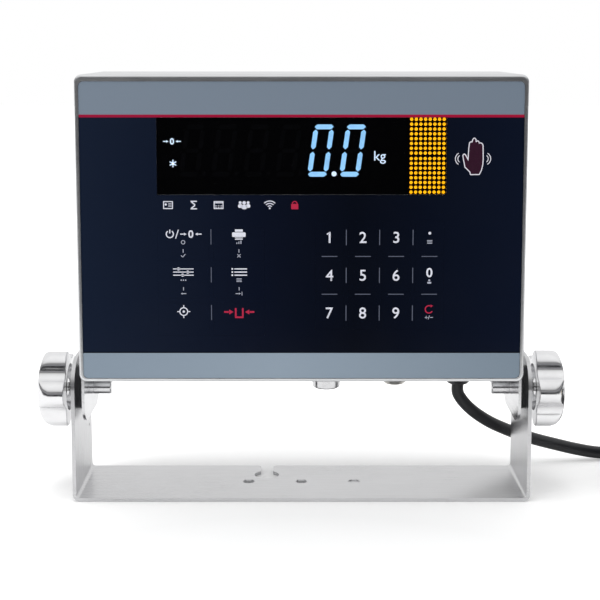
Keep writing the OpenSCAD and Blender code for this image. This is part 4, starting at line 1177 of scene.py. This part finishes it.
SIGNS = {
    "power": ((arc, -7, 0, 1.9, 0.6, 125, 290), (bar, -7, 1.4, 0.6, 2), (bar, -3.2, 0, 0.5, 5, 18),
              (arrow, 0.2, 0, 3.4, 2.4, 1), (zero, 4.2, 0, 5.6 * MM), (arrow, 8.2, 0, 3.4, 2.4, -1)),
    "printer": ((pill, 0, -0.3, 7.2, 2.5, 0.5), (bar, 0, 1.9, 4.2, 1.3), (bar, 0, -2.1, 4.2, 0.45),
                (bar, -1.9, -1.8, 0.4, 0.9), (bar, 1.9, -1.8, 0.4, 0.9), (bar, 0, -2.8, 4.2, 0.45)),
    "sliders": ((bar, 0, 1.7, 11, 0.5), (disc, -2.6, 1.7, 0.85, 16), (bar, 0, 0, 11, 0.5),
                (disc, 2.4, 0, 0.85, 16), (bar, 0, -1.7, 11, 0.5), (disc, -0.4, -1.7, 0.85, 16)),
    "list": ((disc, -3.6, 1.7, 0.5, 12), (bar, 0.9, 1.7, 6.8, 0.62), (disc, -3.6, 0, 0.5, 12),
             (bar, 0.9, 0, 6.8, 0.62), (disc, -3.6, -1.7, 0.5, 12), (bar, 0.9, -1.7, 6.8, 0.62)),
    "target": ((arc, 0, 0, 2.1, 0.55), (disc, 0, 0, 0.65, 16), (bar, -2.9, 0, 1.2, 0.5),
               (bar, 2.9, 0, 1.2, 0.5), (bar, 0, 2.9, 0.5, 1.2), (bar, 0, -2.9, 0.5, 1.2)),
    "tare": ((arrow, -5.6, 0, 5, 4, 1), (bar, 0, -2.9, 4.6, 0.9), (bar, -1.9, -0.2, 0.9, 4.6),
             (bar, 1.9, -0.2, 0.9, 4.6), (arrow, 5.6, 0, 5, 4, -1)),
    "tick": ((bar, -0.7, -0.3, 1.3, 0.4, 45), (bar, 0.45, 0.1, 2.1, 0.4, -50)),
    "cross": ((bar, 0, 0, 2.4, 0.4, 45), (bar, 0, 0, 2.4, 0.4, -45)),
    "ring": ((arc, 0, 0, 0.95, 0.38),),
    "bars": ((bar, -1.1, -0.5, 0.5, 0.8), (bar, 0, -0.25, 0.5, 1.3), (bar, 1.1, 0, 0.5, 1.8)),
    "dots": ((disc, -1.2, 0, 0.38, 12), (disc, 0, 0, 0.38, 12), (disc, 1.2, 0, 0.38, 12)),
    "small_list": ((bar, 0, -0.75, 2.8, 0.36), (bar, 0, 0, 2.8, 0.36), (bar, 0, 0.75, 2.8, 0.36)),
    "back": ((arrow, 0, 0, 3, 1.7, -1),),
    "exit": ((arrow, -0.5, 0, 2.8, 1.7, 1), (bar, 1.5, 0, 0.35, 2)),
    "point": ((disc, 0, 2.3, 0.75, 20),),
    "user": ((disc, 0, -2.7, 0.55, 14), (pill, 0, -4, 2.2, 1, 0.45)),
    "clear": ((arc, 0, 2, 2, 0.6, 60, 270), (disc, 1.3, 3.9, 0.9, 3, 200)),
    "plus_minus": ((bar, -1.4, -2.4, 1.5, 0.35), (bar, -1.4, -2.4, 0.35, 1.5),
                   (bar, 0, -2.4, 0.35, 2.2, 20), (bar, 1.4, -2.4, 1.5, 0.35)),
}
FUNCTION_SIGNS = {
    "key_power": ("power", "ring", "tick"), "key_print": ("printer", "bars", "cross"),
    "key_function": ("sliders", "dots", "back"), "key_menu": ("list", "small_list", "exit"),
}
SUB_SIGN_UP = 0.9
TICK_DOWN = 3.8
LOW_SIGN_DOWN = 6.4
for key, (label, upper, lower) in FUNCTION_SIGNS.items():
    x, z = middle_of(key)
    legend(key, pale_ink, drawn(label, x, z + LABEL_UP / MM))
    marks = drawn(upper, x, z + SUB_SIGN_UP)
    marks.append(bar(x, z - TICK_DOWN, 0.4, 1.8))
    small_legend(key, marks + drawn(lower, x, z - LOW_SIGN_DOWN))
UPPER_KEY_SIGNS = (("key_target", pale_ink, "target", 1), ("key_tare", crimson_ink, "tare", 1.2))
for key, material, sign, drop in UPPER_KEY_SIGNS:
    x, z = middle_of(key)
    legend(key, material, drawn(sign, x, z + LABEL_UP / MM - drop))

for key in NUMBER_KEYS:
    x, z = middle_of(key)
    numeral = key.removeprefix("key_")
    if numeral == "point":
        legend(key, pale_ink, drawn("point", x, z))
        small_legend(key, drawn("small_list", x, z - 2.4))
    elif numeral == "0":
        legend(key, pale_ink, [figure("0", x, z + 1.5, DIGIT_SIZE * 0.82)])
        small_legend(key, drawn("user", x, z))
    elif numeral == "clear":
        legend(key, crimson_ink, drawn("clear", x, z))
        small_legend(key, drawn("plus_minus", x, z))
    else:
        marks = [figure(numeral, x, z, DIGIT_SIZE, DIGIT_WEIGHT)]
        if numeral == "1":
            marks.append(bar(x - 0.75, z + 2.15, 1.7, 0.65, -38))
        legend(key, pale_ink, marks)

rules = []
number_x = sorted({middle_of(key)[0] for key in NUMBER_KEYS})
number_z = sorted({middle_of(key)[1] for key in NUMBER_KEYS})
function_x = sorted({middle_of(key)[0] for key in FUNCTION_KEYS})
function_z = sorted({middle_of(key)[1] for key in FUNCTION_KEYS})
for z in number_z:
    rules += [bar((a + b) / 2, z, 0.45, 8.3) for a, b in zip(number_x, number_x[1:])]
for low_z, high_z in zip(number_z, number_z[1:]):
    rules += [bar(x, (low_z + high_z) / 2, 8.4, 0.45) for x in number_x]
rules += [bar(sum(function_x) / 2, z + 3.8, 0.45, 8.2) for z in function_z]
printed("key_rules", "housing", grey_ink, rules)

# Status signs: a row of small printed signs under the window that lamps behind the film light up, and the
# hand-wave sensor's sign at the right, maroon with a pale outline, over the sensor's place.
STATUS_Z = 164.5
SENSOR_X, SENSOR_Z = middle_of("sensor_board")


def frame_marks(x, z, wide, high, line):
    """The outline of a rectangle."""
    return [bar(x, z + (high - line) / 2, wide, line), bar(x, z - (high - line) / 2, wide, line),
            bar(x - (wide - line) / 2, z, line, high - 2 * line),
            bar(x + (wide - line) / 2, z, line, high - 2 * line)]


def person(x, z, size):
    return [disc(x, z + size * 0.5, size * 0.3, 16),
            pill(x, z - size * 0.2, size * 0.9, size * 0.75, corner=size * 0.3)]


status = frame_marks(-71, STATUS_Z, 5.2, 4.2, 0.5)
status += [disc(-72.2, STATUS_Z + 0.3, 0.6, 14), bar(-70, STATUS_Z + 0.6, 1.7, 0.4),
           bar(-70, STATUS_Z - 0.5, 1.7, 0.4)]
status += [bar(-57.3, STATUS_Z + 2, 3.4, 0.6), bar(-57.3, STATUS_Z - 2, 3.4, 0.6),
           bar(-57.6, STATUS_Z + 0.9, 0.65, 2.6, -52), bar(-57.6, STATUS_Z - 0.9, 0.65, 2.6, 52)]
status += frame_marks(-44.1, STATUS_Z, 5.2, 4.2, 0.5) + [bar(-44.1, STATUS_Z + 1.2, 4.2, 0.5)]
status += [bar(-45.5 + 1.4 * i, STATUS_Z - 0.4 * (1 + j), 0.7, 0.35) for i in range(3) for j in (0, 2)]
status += person(-32.6, STATUS_Z, 2.6) + person(-28.4, STATUS_Z, 2.6) + person(-30.5, STATUS_Z - 0.4, 3.2)
status += [arc(-16.9, STATUS_Z - 1.9, radius, 0.5, 45, 90) for radius in (1.5, 2.8, 4.1)]
status.append(disc(-16.9, STATUS_Z - 1.7, 0.5, 14))
printed("status_signs", "housing", pale_ink, status)
printed("lock_sign", "housing", crimson_ink,
        [pill(-3.6, STATUS_Z - 0.8, 3.8, 2.9, corner=0.4), arc(-3.6, STATUS_Z + 0.7, 1.25, 0.5, 0, 180)])

outline_ink = print_ink("outline_ink", ink(228, 226, 236))
maroon_ink = print_ink("maroon_ink", ink(48, 4, 34))
WAVE_W = 0.42
HAND = (
    (-2.2, -9.7), (-2.5, -8.4), (-5.1, -5.9), (-5.6, -3.4), (-6.1, -1.1), (-6.3, 0.5), (-5.9, 1.3),
    (-5.1, 1.5), (-4.4, 0.8), (-3.5, -0.8), (-3.4, 1.1), (-3.2, 4.5), (-2.9, 7.2), (-2.3, 7.9),
    (-1.5, 7.9), (-1.1, 9.2), (-0.4, 9.9), (0.4, 9.8), (1.0, 9.1), (1.1, 8.2), (1.7, 8.5),
    (2.4, 8.2), (2.7, 7.3), (3.5, 7.4), (4.3, 6.9), (4.8, 5.9), (4.9, 2.2), (5.0, -1.7),
    (4.8, -4.5), (4.2, -7.3), (3.4, -9.0), (3.0, -9.9), (-1.9, -10.0),
)
OUTLINE_W = 0.5


def hand(kept_inside):
    """An open hand: the field inside its outline, or else the outline itself."""
    mark = disc(SENSOR_X, SENSOR_Z, 1, len(HAND))
    for vertex, (x, z) in zip(mark.data.vertices, HAND):
        vertex.co.x = (SENSOR_X + x) * MM
        vertex.co.z = (SENSOR_Z + z) * MM
    edit(mark)
    pick_all()
    bpy.ops.mesh.inset(thickness=OUTLINE_W * MM)
    if kept_inside:
        bpy.ops.mesh.select_all(action="INVERT")
    bpy.ops.mesh.delete(type="FACE")
    done()
    return mark


printed("hand_outline", "housing", outline_ink, [hand(False)])
printed("hand_sign", "housing", maroon_ink, [hand(True)])
waves = []
for wave_x, side in ((-6.6, 180), (5.3, 0)):
    waves += [arc(SENSOR_X + wave_x, SENSOR_Z - 1.3, radius, WAVE_W, side - sweep / 2, sweep)
              for radius, sweep in ((3.4, 120), (2.1, 110))]
printed("wave_sign", "housing", outline_ink, waves)

# Display window: a pane of clear acrylic tinted dark, 2.3 mm thick, let into the film. Behind it lie the
# black faces of the two display modules.
pane_low, pane_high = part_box("display_window")
PANE_GAP = 0.25 * MM

smoked_acrylic, tree, shader = new_finish("smoked_acrylic", specular=0.1)
shader.inputs["Transmission Weight"].default_value = 1
shader.inputs["IOR"].default_value = 1.45
tint(tree, shader, grain(tree, 20), (0.70, 0.71, 0.74, 1), (0.73, 0.74, 0.76, 1))
dull(tree, shader, grain(tree, 40, detail=4), 0.0, 0.03)

pane_back = pane_high - Vector((0, PANE_GAP, 0))
pane = block("window_pane", (pane_low + pane_back) / 2, pane_back - pane_low)
edit(pane)
pick(pane, "FACE", lambda at, out: out.y < -FACING)
bpy.ops.mesh.inset(thickness=0.25 * MM)
done()
ease_edges(pane, 0.12 * MM)
finish(pane, smoked_acrylic)
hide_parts("display_window")
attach(pane, "housing")

module_black = grained("module_black", ink(4, 4, 5), ink(7, 7, 8), (60,), bump=(0.03 * MM, 0.3),
                       bump_by=(1200,), rough=0.7, specular=0)
refinish(module_black, "digit_display", "led_matrix")

# Numerals of the display: six places of seven segments each, leaning to the right. The last two places and
# the point between them are lit, ice blue; the others show as grey shapes in the black.
SEGMENT_T = 0.1 * MM
PLACE_PITCH = 17.06
LAST_PLACE_X = 27.3
PLACE_Z = 193.4
PLACE_W = 10.9
PLACE_H = 27.8
UPRIGHT_W = 2.5
LEVEL_W = 2.6
SEGMENT_POINT = 0.46
LEAN = math.tan(math.radians(8))
END_GAP = 1
MID_GAP = 1.4
TOP_GAP = 1.5
MODULE_FACE = pane_high.y
POINT_AT = (17.3, 181.0)
POINT_R = 1.35
UNIT_AT = (41.7, 189.8)
UNIT_SIZE = 7.4 * MM
UNIT_WEIGHT = 0.02 * MM


def lit_finish(name, colour, strength, edge_shade):
    """A lamp's diffusing face: it glows, a little less in some spots."""
    material, tree, shader = new_finish(name, rough=0.5)
    shader.inputs["Emission Strength"].default_value = strength
    dim = [channel * edge_shade for channel in colour[:3]] + [1]
    tone = tones(tree, grain(tree, 300, detail=2), ((0.3, dim), (0.6, colour)))
    tree.links.new(tone, shader.inputs["Emission Color"])
    tree.links.new(tone, shader.inputs["Base Color"])
    return material


lit_blue = lit_finish("lit_blue", ink(144, 198, 238), 1.45, 0.85)
lit_white = lit_finish("lit_white", ink(214, 232, 250), 1.4, 0.95)
lit_amber = lit_finish("lit_amber", ink(255, 176, 8), 1.9, 0.88)
unlit = grained("unlit_segment", ink(17, 18, 20), ink(22, 23, 26), (200,), rough=0.6, specular=0)


def segment(x, z, length, wide, upright):
    """One segment: a bar whose ends are cut to points."""
    return pill(x, z, *((wide, length) if upright else (length, wide)), wide * SEGMENT_POINT, 1)


def place_segments(x, kept):
    """The segments of one place, named a to g from the top clockwise with g across the middle."""
    reach_x = (PLACE_W - UPRIGHT_W) / 2
    reach_z = (PLACE_H - LEVEL_W) / 2
    level_l = PLACE_W - END_GAP
    upright_l = reach_z - MID_GAP / 2 - TOP_GAP
    mid_z = MID_GAP / 2 + upright_l / 2
    shapes = {"a": (0, reach_z, level_l, LEVEL_W, False), "g": (0, 0, level_l - 2.2, LEVEL_W * 0.85, False),
              "d": (0, -reach_z, level_l, LEVEL_W, False), "b": (reach_x, mid_z, upright_l, UPRIGHT_W, True),
              "c": (reach_x, -mid_z, upright_l, UPRIGHT_W, True),
              "f": (-reach_x, mid_z, upright_l, UPRIGHT_W, True),
              "e": (-reach_x, -mid_z, upright_l, UPRIGHT_W, True)}
    marks = []
    for name in kept:
        across_x, up_z, length, wide, upright = shapes[name]
        marks.append(segment(x + across_x, PLACE_Z + up_z, length, wide, upright))
    for mark in marks:
        for vertex in mark.data.vertices:
            vertex.co.x += (vertex.co.z - PLACE_Z * MM) * LEAN
    return marks


def lit(name, material, marks, thick=SEGMENT_T):
    """Joins flat marks into one raised piece on the display modules' face."""
    piece = printed(name, "housing", material, marks, thick)
    piece.data.transform(Matrix.Translation((0, MODULE_FACE - film_low.y, 0)))
    return piece


places = [LAST_PLACE_X - PLACE_PITCH * i for i in range(6)]
lit("digits_lit", lit_blue, place_segments(places[0], "abcdef") + place_segments(places[1], "abcdef"))
dark_marks = place_segments(places[0], "g") + place_segments(places[1], "g")
for place_x in places[2:]:
    dark_marks += place_segments(place_x, "abcdefg")
    dark_marks.append(disc(place_x + 6.2, PLACE_Z - PLACE_H / 2 + 1.6, 1.2, 16))
lit("digits_dark", unlit, dark_marks)
lit("point_lit", lit_white, [disc(*POINT_AT, POINT_R, 24)])
lit("unit_lit", lit_white, [figure("kg", *UNIT_AT, UNIT_SIZE, UNIT_WEIGHT)])
zero_sign = [*arrow(-72, 198.3, 2.9, 2.2, 1), figure("0", -68.7, 198.3, 4.6 * MM),
             *arrow(-65.4, 198.3, 2.9, 2.2, -1)]
zero_sign += [bar(-68.3, 186.5, 0.55, 4, turn) for turn in (0, 60, 120)]
lit("small_signs_lit", lit_white, zero_sign)

# Lamp field: eight columns of sixteen round amber lamps in a black block at the window's right end.
LAMP_COLUMNS = 8
LAMP_ROWS = 16
LAMP_DIA = 1.74
LAMP_PITCH_X = 2.462
LAMP_PITCH_Z = 2.56
LAMP_FIRST = (58.3, 210.0)
BLOCK_STEP = 0.35
lamp_marks = []
for column in range(LAMP_COLUMNS):
    for row in range(LAMP_ROWS):
        drop = row * LAMP_PITCH_Z + (BLOCK_STEP if row >= LAMP_ROWS / 2 else 0)
        lamp_marks.append(disc(LAMP_FIRST[0] + column * LAMP_PITCH_X, LAMP_FIRST[1] - drop, LAMP_DIA / 2, 14))
field = lit("amber_lamps", lit_amber, lamp_marks, 0.15 * MM)
ease_edges(field, 0.06 * MM, 1)
soften(field, 35)

# Vent plug: a polished stainless cap under the housing with a membrane inside, screwed in with a rubber
# ring under it. A slot round it lets the air through.
def foot_of(low, high):
    """The middle of a box's bottom."""
    return Vector(((low.x + high.x) / 2, (low.y + high.y) / 2, low.z))


VENT_RIM = 2.4 * MM
VENT_DISH = 0.8 * MM
VENT_STUB_R = 4 * MM

low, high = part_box("vent_plug")
vent_r = (high.x - low.x) / 2
vent_at = foot_of(low, high)
BODY_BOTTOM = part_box("front_bezel")[0].z
vent_h = BODY_BOTTOM - low.z
ring_low = vent_h - 0.9 * MM
slot_low = vent_h - 3.2 * MM
slot_high = vent_h - 2.4 * MM
slot_r = vent_r - 0.8 * MM
profile = ((0, vent_r - 1 * MM), (0.5 * MM, vent_r - 0.25 * MM), (1.1 * MM, vent_r), (slot_low, vent_r),
           (slot_low, slot_r), (slot_high, slot_r), (slot_high, vent_r), (ring_low, vent_r),
           (ring_low, vent_r - 1 * MM), (vent_h, vent_r - 1 * MM))
vent = turned("vent_cap", profile, vent_at, (0, 0, 1), 56)
edit(vent)
pick(vent, "FACE", lambda at, out: out.z < -FACING)
bpy.ops.mesh.inset(thickness=VENT_RIM)
bpy.ops.mesh.inset(thickness=0.3 * MM, depth=-VENT_DISH)
done()
ease_edges(vent, 0.15 * MM)
ring_r = vent_r - 0.7 * MM
vent_ring = turned("vent_ring", ((ring_low, ring_r), (vent_h, ring_r)), vent_at, (0, 0, 1), 48)
stub = turned("vent_stub", ((vent_h, VENT_STUB_R), (high.z - low.z, VENT_STUB_R)), vent_at, (0, 0, 1), 32)
vent = join("vent_cap", vent, stub)
finish(vent, polished_steel)
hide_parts("vent_plug")
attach(vent, "housing")
finish(vent_ring, seal_rubber)
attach(vent_ring, "housing")

# Cable glands: a hexagon on the housing, a domed nut with grip ribs that squeezes a rubber sleeve on the
# cable, and a thread through the wall. The lead's is black nylon, the load cell's and the plug nickel plated.
gland_nylon = grained("gland_nylon", ink(40, 40, 43), ink(54, 54, 58), (150,), (0.38, 0.52), (400,),
                      (0.03 * MM, 0.3), (1400,))

nickel = grained("nickel_plate", (0.62, 0.60, 0.56, 1), (0.72, 0.70, 0.66, 1), (50, EVEN, 4),
                 (0.16, 0.28), (200,), metallic=1)
refinish(nickel, "gland_nuts")

HEX_H = 5 * MM
THREAD_DIA = 16 * MM
THREAD_D = 0.5 * MM
THREAD_TURNS = 5
CELL_BORE_DIA = 6.2 * MM
PLUG_HEX_W = 8 * MM
CAP_TOP_DIA = 20 * MM
RIB_AT_R = 9.3 * MM
MOUTH_DIA = 13 * MM
GRIP_RIBS = 16


def hexagon(name, at, across, high):
    """A six-sided flange with its corners turned off."""
    blank = turned(name, ((0, across / 2), (high, across / 2)), at, (0, 0, 1), 6)
    turning = turned("turning", ((-0.1 * MM, across / 2 - 1.2 * MM), (1 * MM, across / 2 + 0.3 * MM),
                                 (high + 0.1 * MM, across / 2 + 0.3 * MM)), at, (0, 0, 1), 64)
    modify(blank, "BOOLEAN", operation="INTERSECT", object=turning, solver="EXACT")
    bpy.data.objects.remove(turning)
    return blank


def dome_nut(at, high, bore):
    """A domed nut that narrows down to the cable, ribbed for the hand."""
    profile = ((0, MOUTH_DIA / 2 - 0.8 * MM), (0.8 * MM, MOUTH_DIA / 2), (high * 0.3, CAP_TOP_DIA * 0.40),
               (high * 0.45, CAP_TOP_DIA * 0.455), (high * 0.97, CAP_TOP_DIA * 0.475),
               (high, CAP_TOP_DIA / 2))
    nut = turned("dome_nut", profile, at, (0, 0, 1), 64)
    cut_away(nut, rod("bore", bore, 3 * high, at, (0, 0, 1), 48))
    ribs = []
    for i in range(GRIP_RIBS):
        angle = math.tau * i / GRIP_RIBS
        outward = RIB_AT_R * Vector((math.cos(angle), math.sin(angle), 0))
        rib = block("rib", at + outward + Vector((0, 0, high * 0.71)), (1.1 * MM, 1.3 * MM, high * 0.5),
                    (0, 0, angle))
        edit(rib)
        pick_all()
        bpy.ops.mesh.bevel(offset=0.3 * MM, segments=2)
        done()
        ribs.append(rib)
    return join("dome_nut", nut, *ribs)


FITTINGS = (
    ("power_gland", gland_nylon, "gland_plastic"), ("load_cell_gland", nickel, "nickel_plate"),
    ("option_plug", nickel, "nickel_plate"),
)
for node, finish_of, slot_name in FITTINGS:
    low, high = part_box(node)
    at = foot_of(low, high)
    across = high.x - low.x
    cap_h = BODY_BOTTOM - HEX_H - low.z
    base = hexagon(node + "_body", at + Vector((0, 0, cap_h)), across, HEX_H)
    thread_profile = [(0, THREAD_DIA / 2)]
    thread_l = high.z - BODY_BOTTOM
    pitch = thread_l / THREAD_TURNS
    for i in range(THREAD_TURNS):
        start = pitch * (i + 0.2)
        thread_profile += [(start, THREAD_DIA / 2), (start + pitch * 0.3, THREAD_DIA / 2 - THREAD_D),
                           (start + pitch * 0.6, THREAD_DIA / 2)]
    thread_profile.append((thread_l, THREAD_DIA / 2 - THREAD_D))
    thread = turned("thread", thread_profile, Vector((at.x, at.y, BODY_BOTTOM)), (0, 0, 1), 40)
    parts = [base, thread]
    if cap_h > 1 * MM:
        bore = CORD_DIA if node == "power_gland" else CELL_BORE_DIA
        parts.append(dome_nut(at, cap_h, bore))
        sleeve_r = MOUTH_DIA / 2 - 1 * MM
        sleeve = turned("sleeve_" + node, ((0.4 * MM, sleeve_r), (3 * MM, sleeve_r)), at, (0, 0, 1), 40)
        cut_away(sleeve, rod("bore", bore, 20 * MM, at, (0, 0, 1), 48))
        finish(sleeve, seal_rubber)
        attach(sleeve, "housing")
    else:
        cut_away(base, rod("key_slot", PLUG_HEX_W, 4 * MM, at, (0, 0, 1), 6))
    if node == "load_cell_gland":
        for part in (base, thread):
            cut_away(part, rod("bore", bore, 80 * MM, at, (0, 0, 1), 48))
    gland = join(node + "_fitting", *parts)
    ease_edges(gland, 0.2 * MM)
    finish(gland, finish_of)
    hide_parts(node)
    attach(gland, "housing")

# Inside the housing: circuit boards on brass posts, their transformer, ribbon cable and key domes. They are
# out of sight when the housing is closed, so the solids stay and take their own finishes.
def inner_finish(name, dark, light, scale, rough_low, rough_high, metallic=0.0):
    material, tree, shader = new_finish(name, metallic=metallic)
    tint(tree, shader, grain(tree, scale, detail=4), dark, light, 0.35, 0.65)
    dull(tree, shader, grain(tree, scale * 2), rough_low, rough_high)
    return material


board_green = inner_finish("board_green", ink(14, 92, 46), ink(24, 112, 58), 90, 0.3, 0.5)
brass = inner_finish("standoff_brass", (0.66, 0.48, 0.22, 1), (0.78, 0.60, 0.32, 1), 120, 0.22, 0.36, 1.0)
dome_metal = inner_finish("dome_steel", (0.68, 0.68, 0.67, 1), (0.80, 0.80, 0.79, 1), 200, 0.15, 0.3, 1.0)
core_iron = inner_finish("core_iron", ink(96, 92, 86), ink(122, 118, 110), 400, 0.45, 0.6, 0.4)
ribbon_grey = inner_finish("ribbon_grey", ink(178, 182, 190), ink(196, 200, 206), 60, 0.4, 0.55)
refinish(board_green, "display_board", "keypad_board", "sensor_board", "main_board", "power_supply_board")
refinish(brass, "board_standoffs")
refinish(dome_metal, "key_domes")
refinish(core_iron, "transformer")
refinish(ribbon_grey, "ribbon_cable")
refinish(turned_steel, "cover_posts")
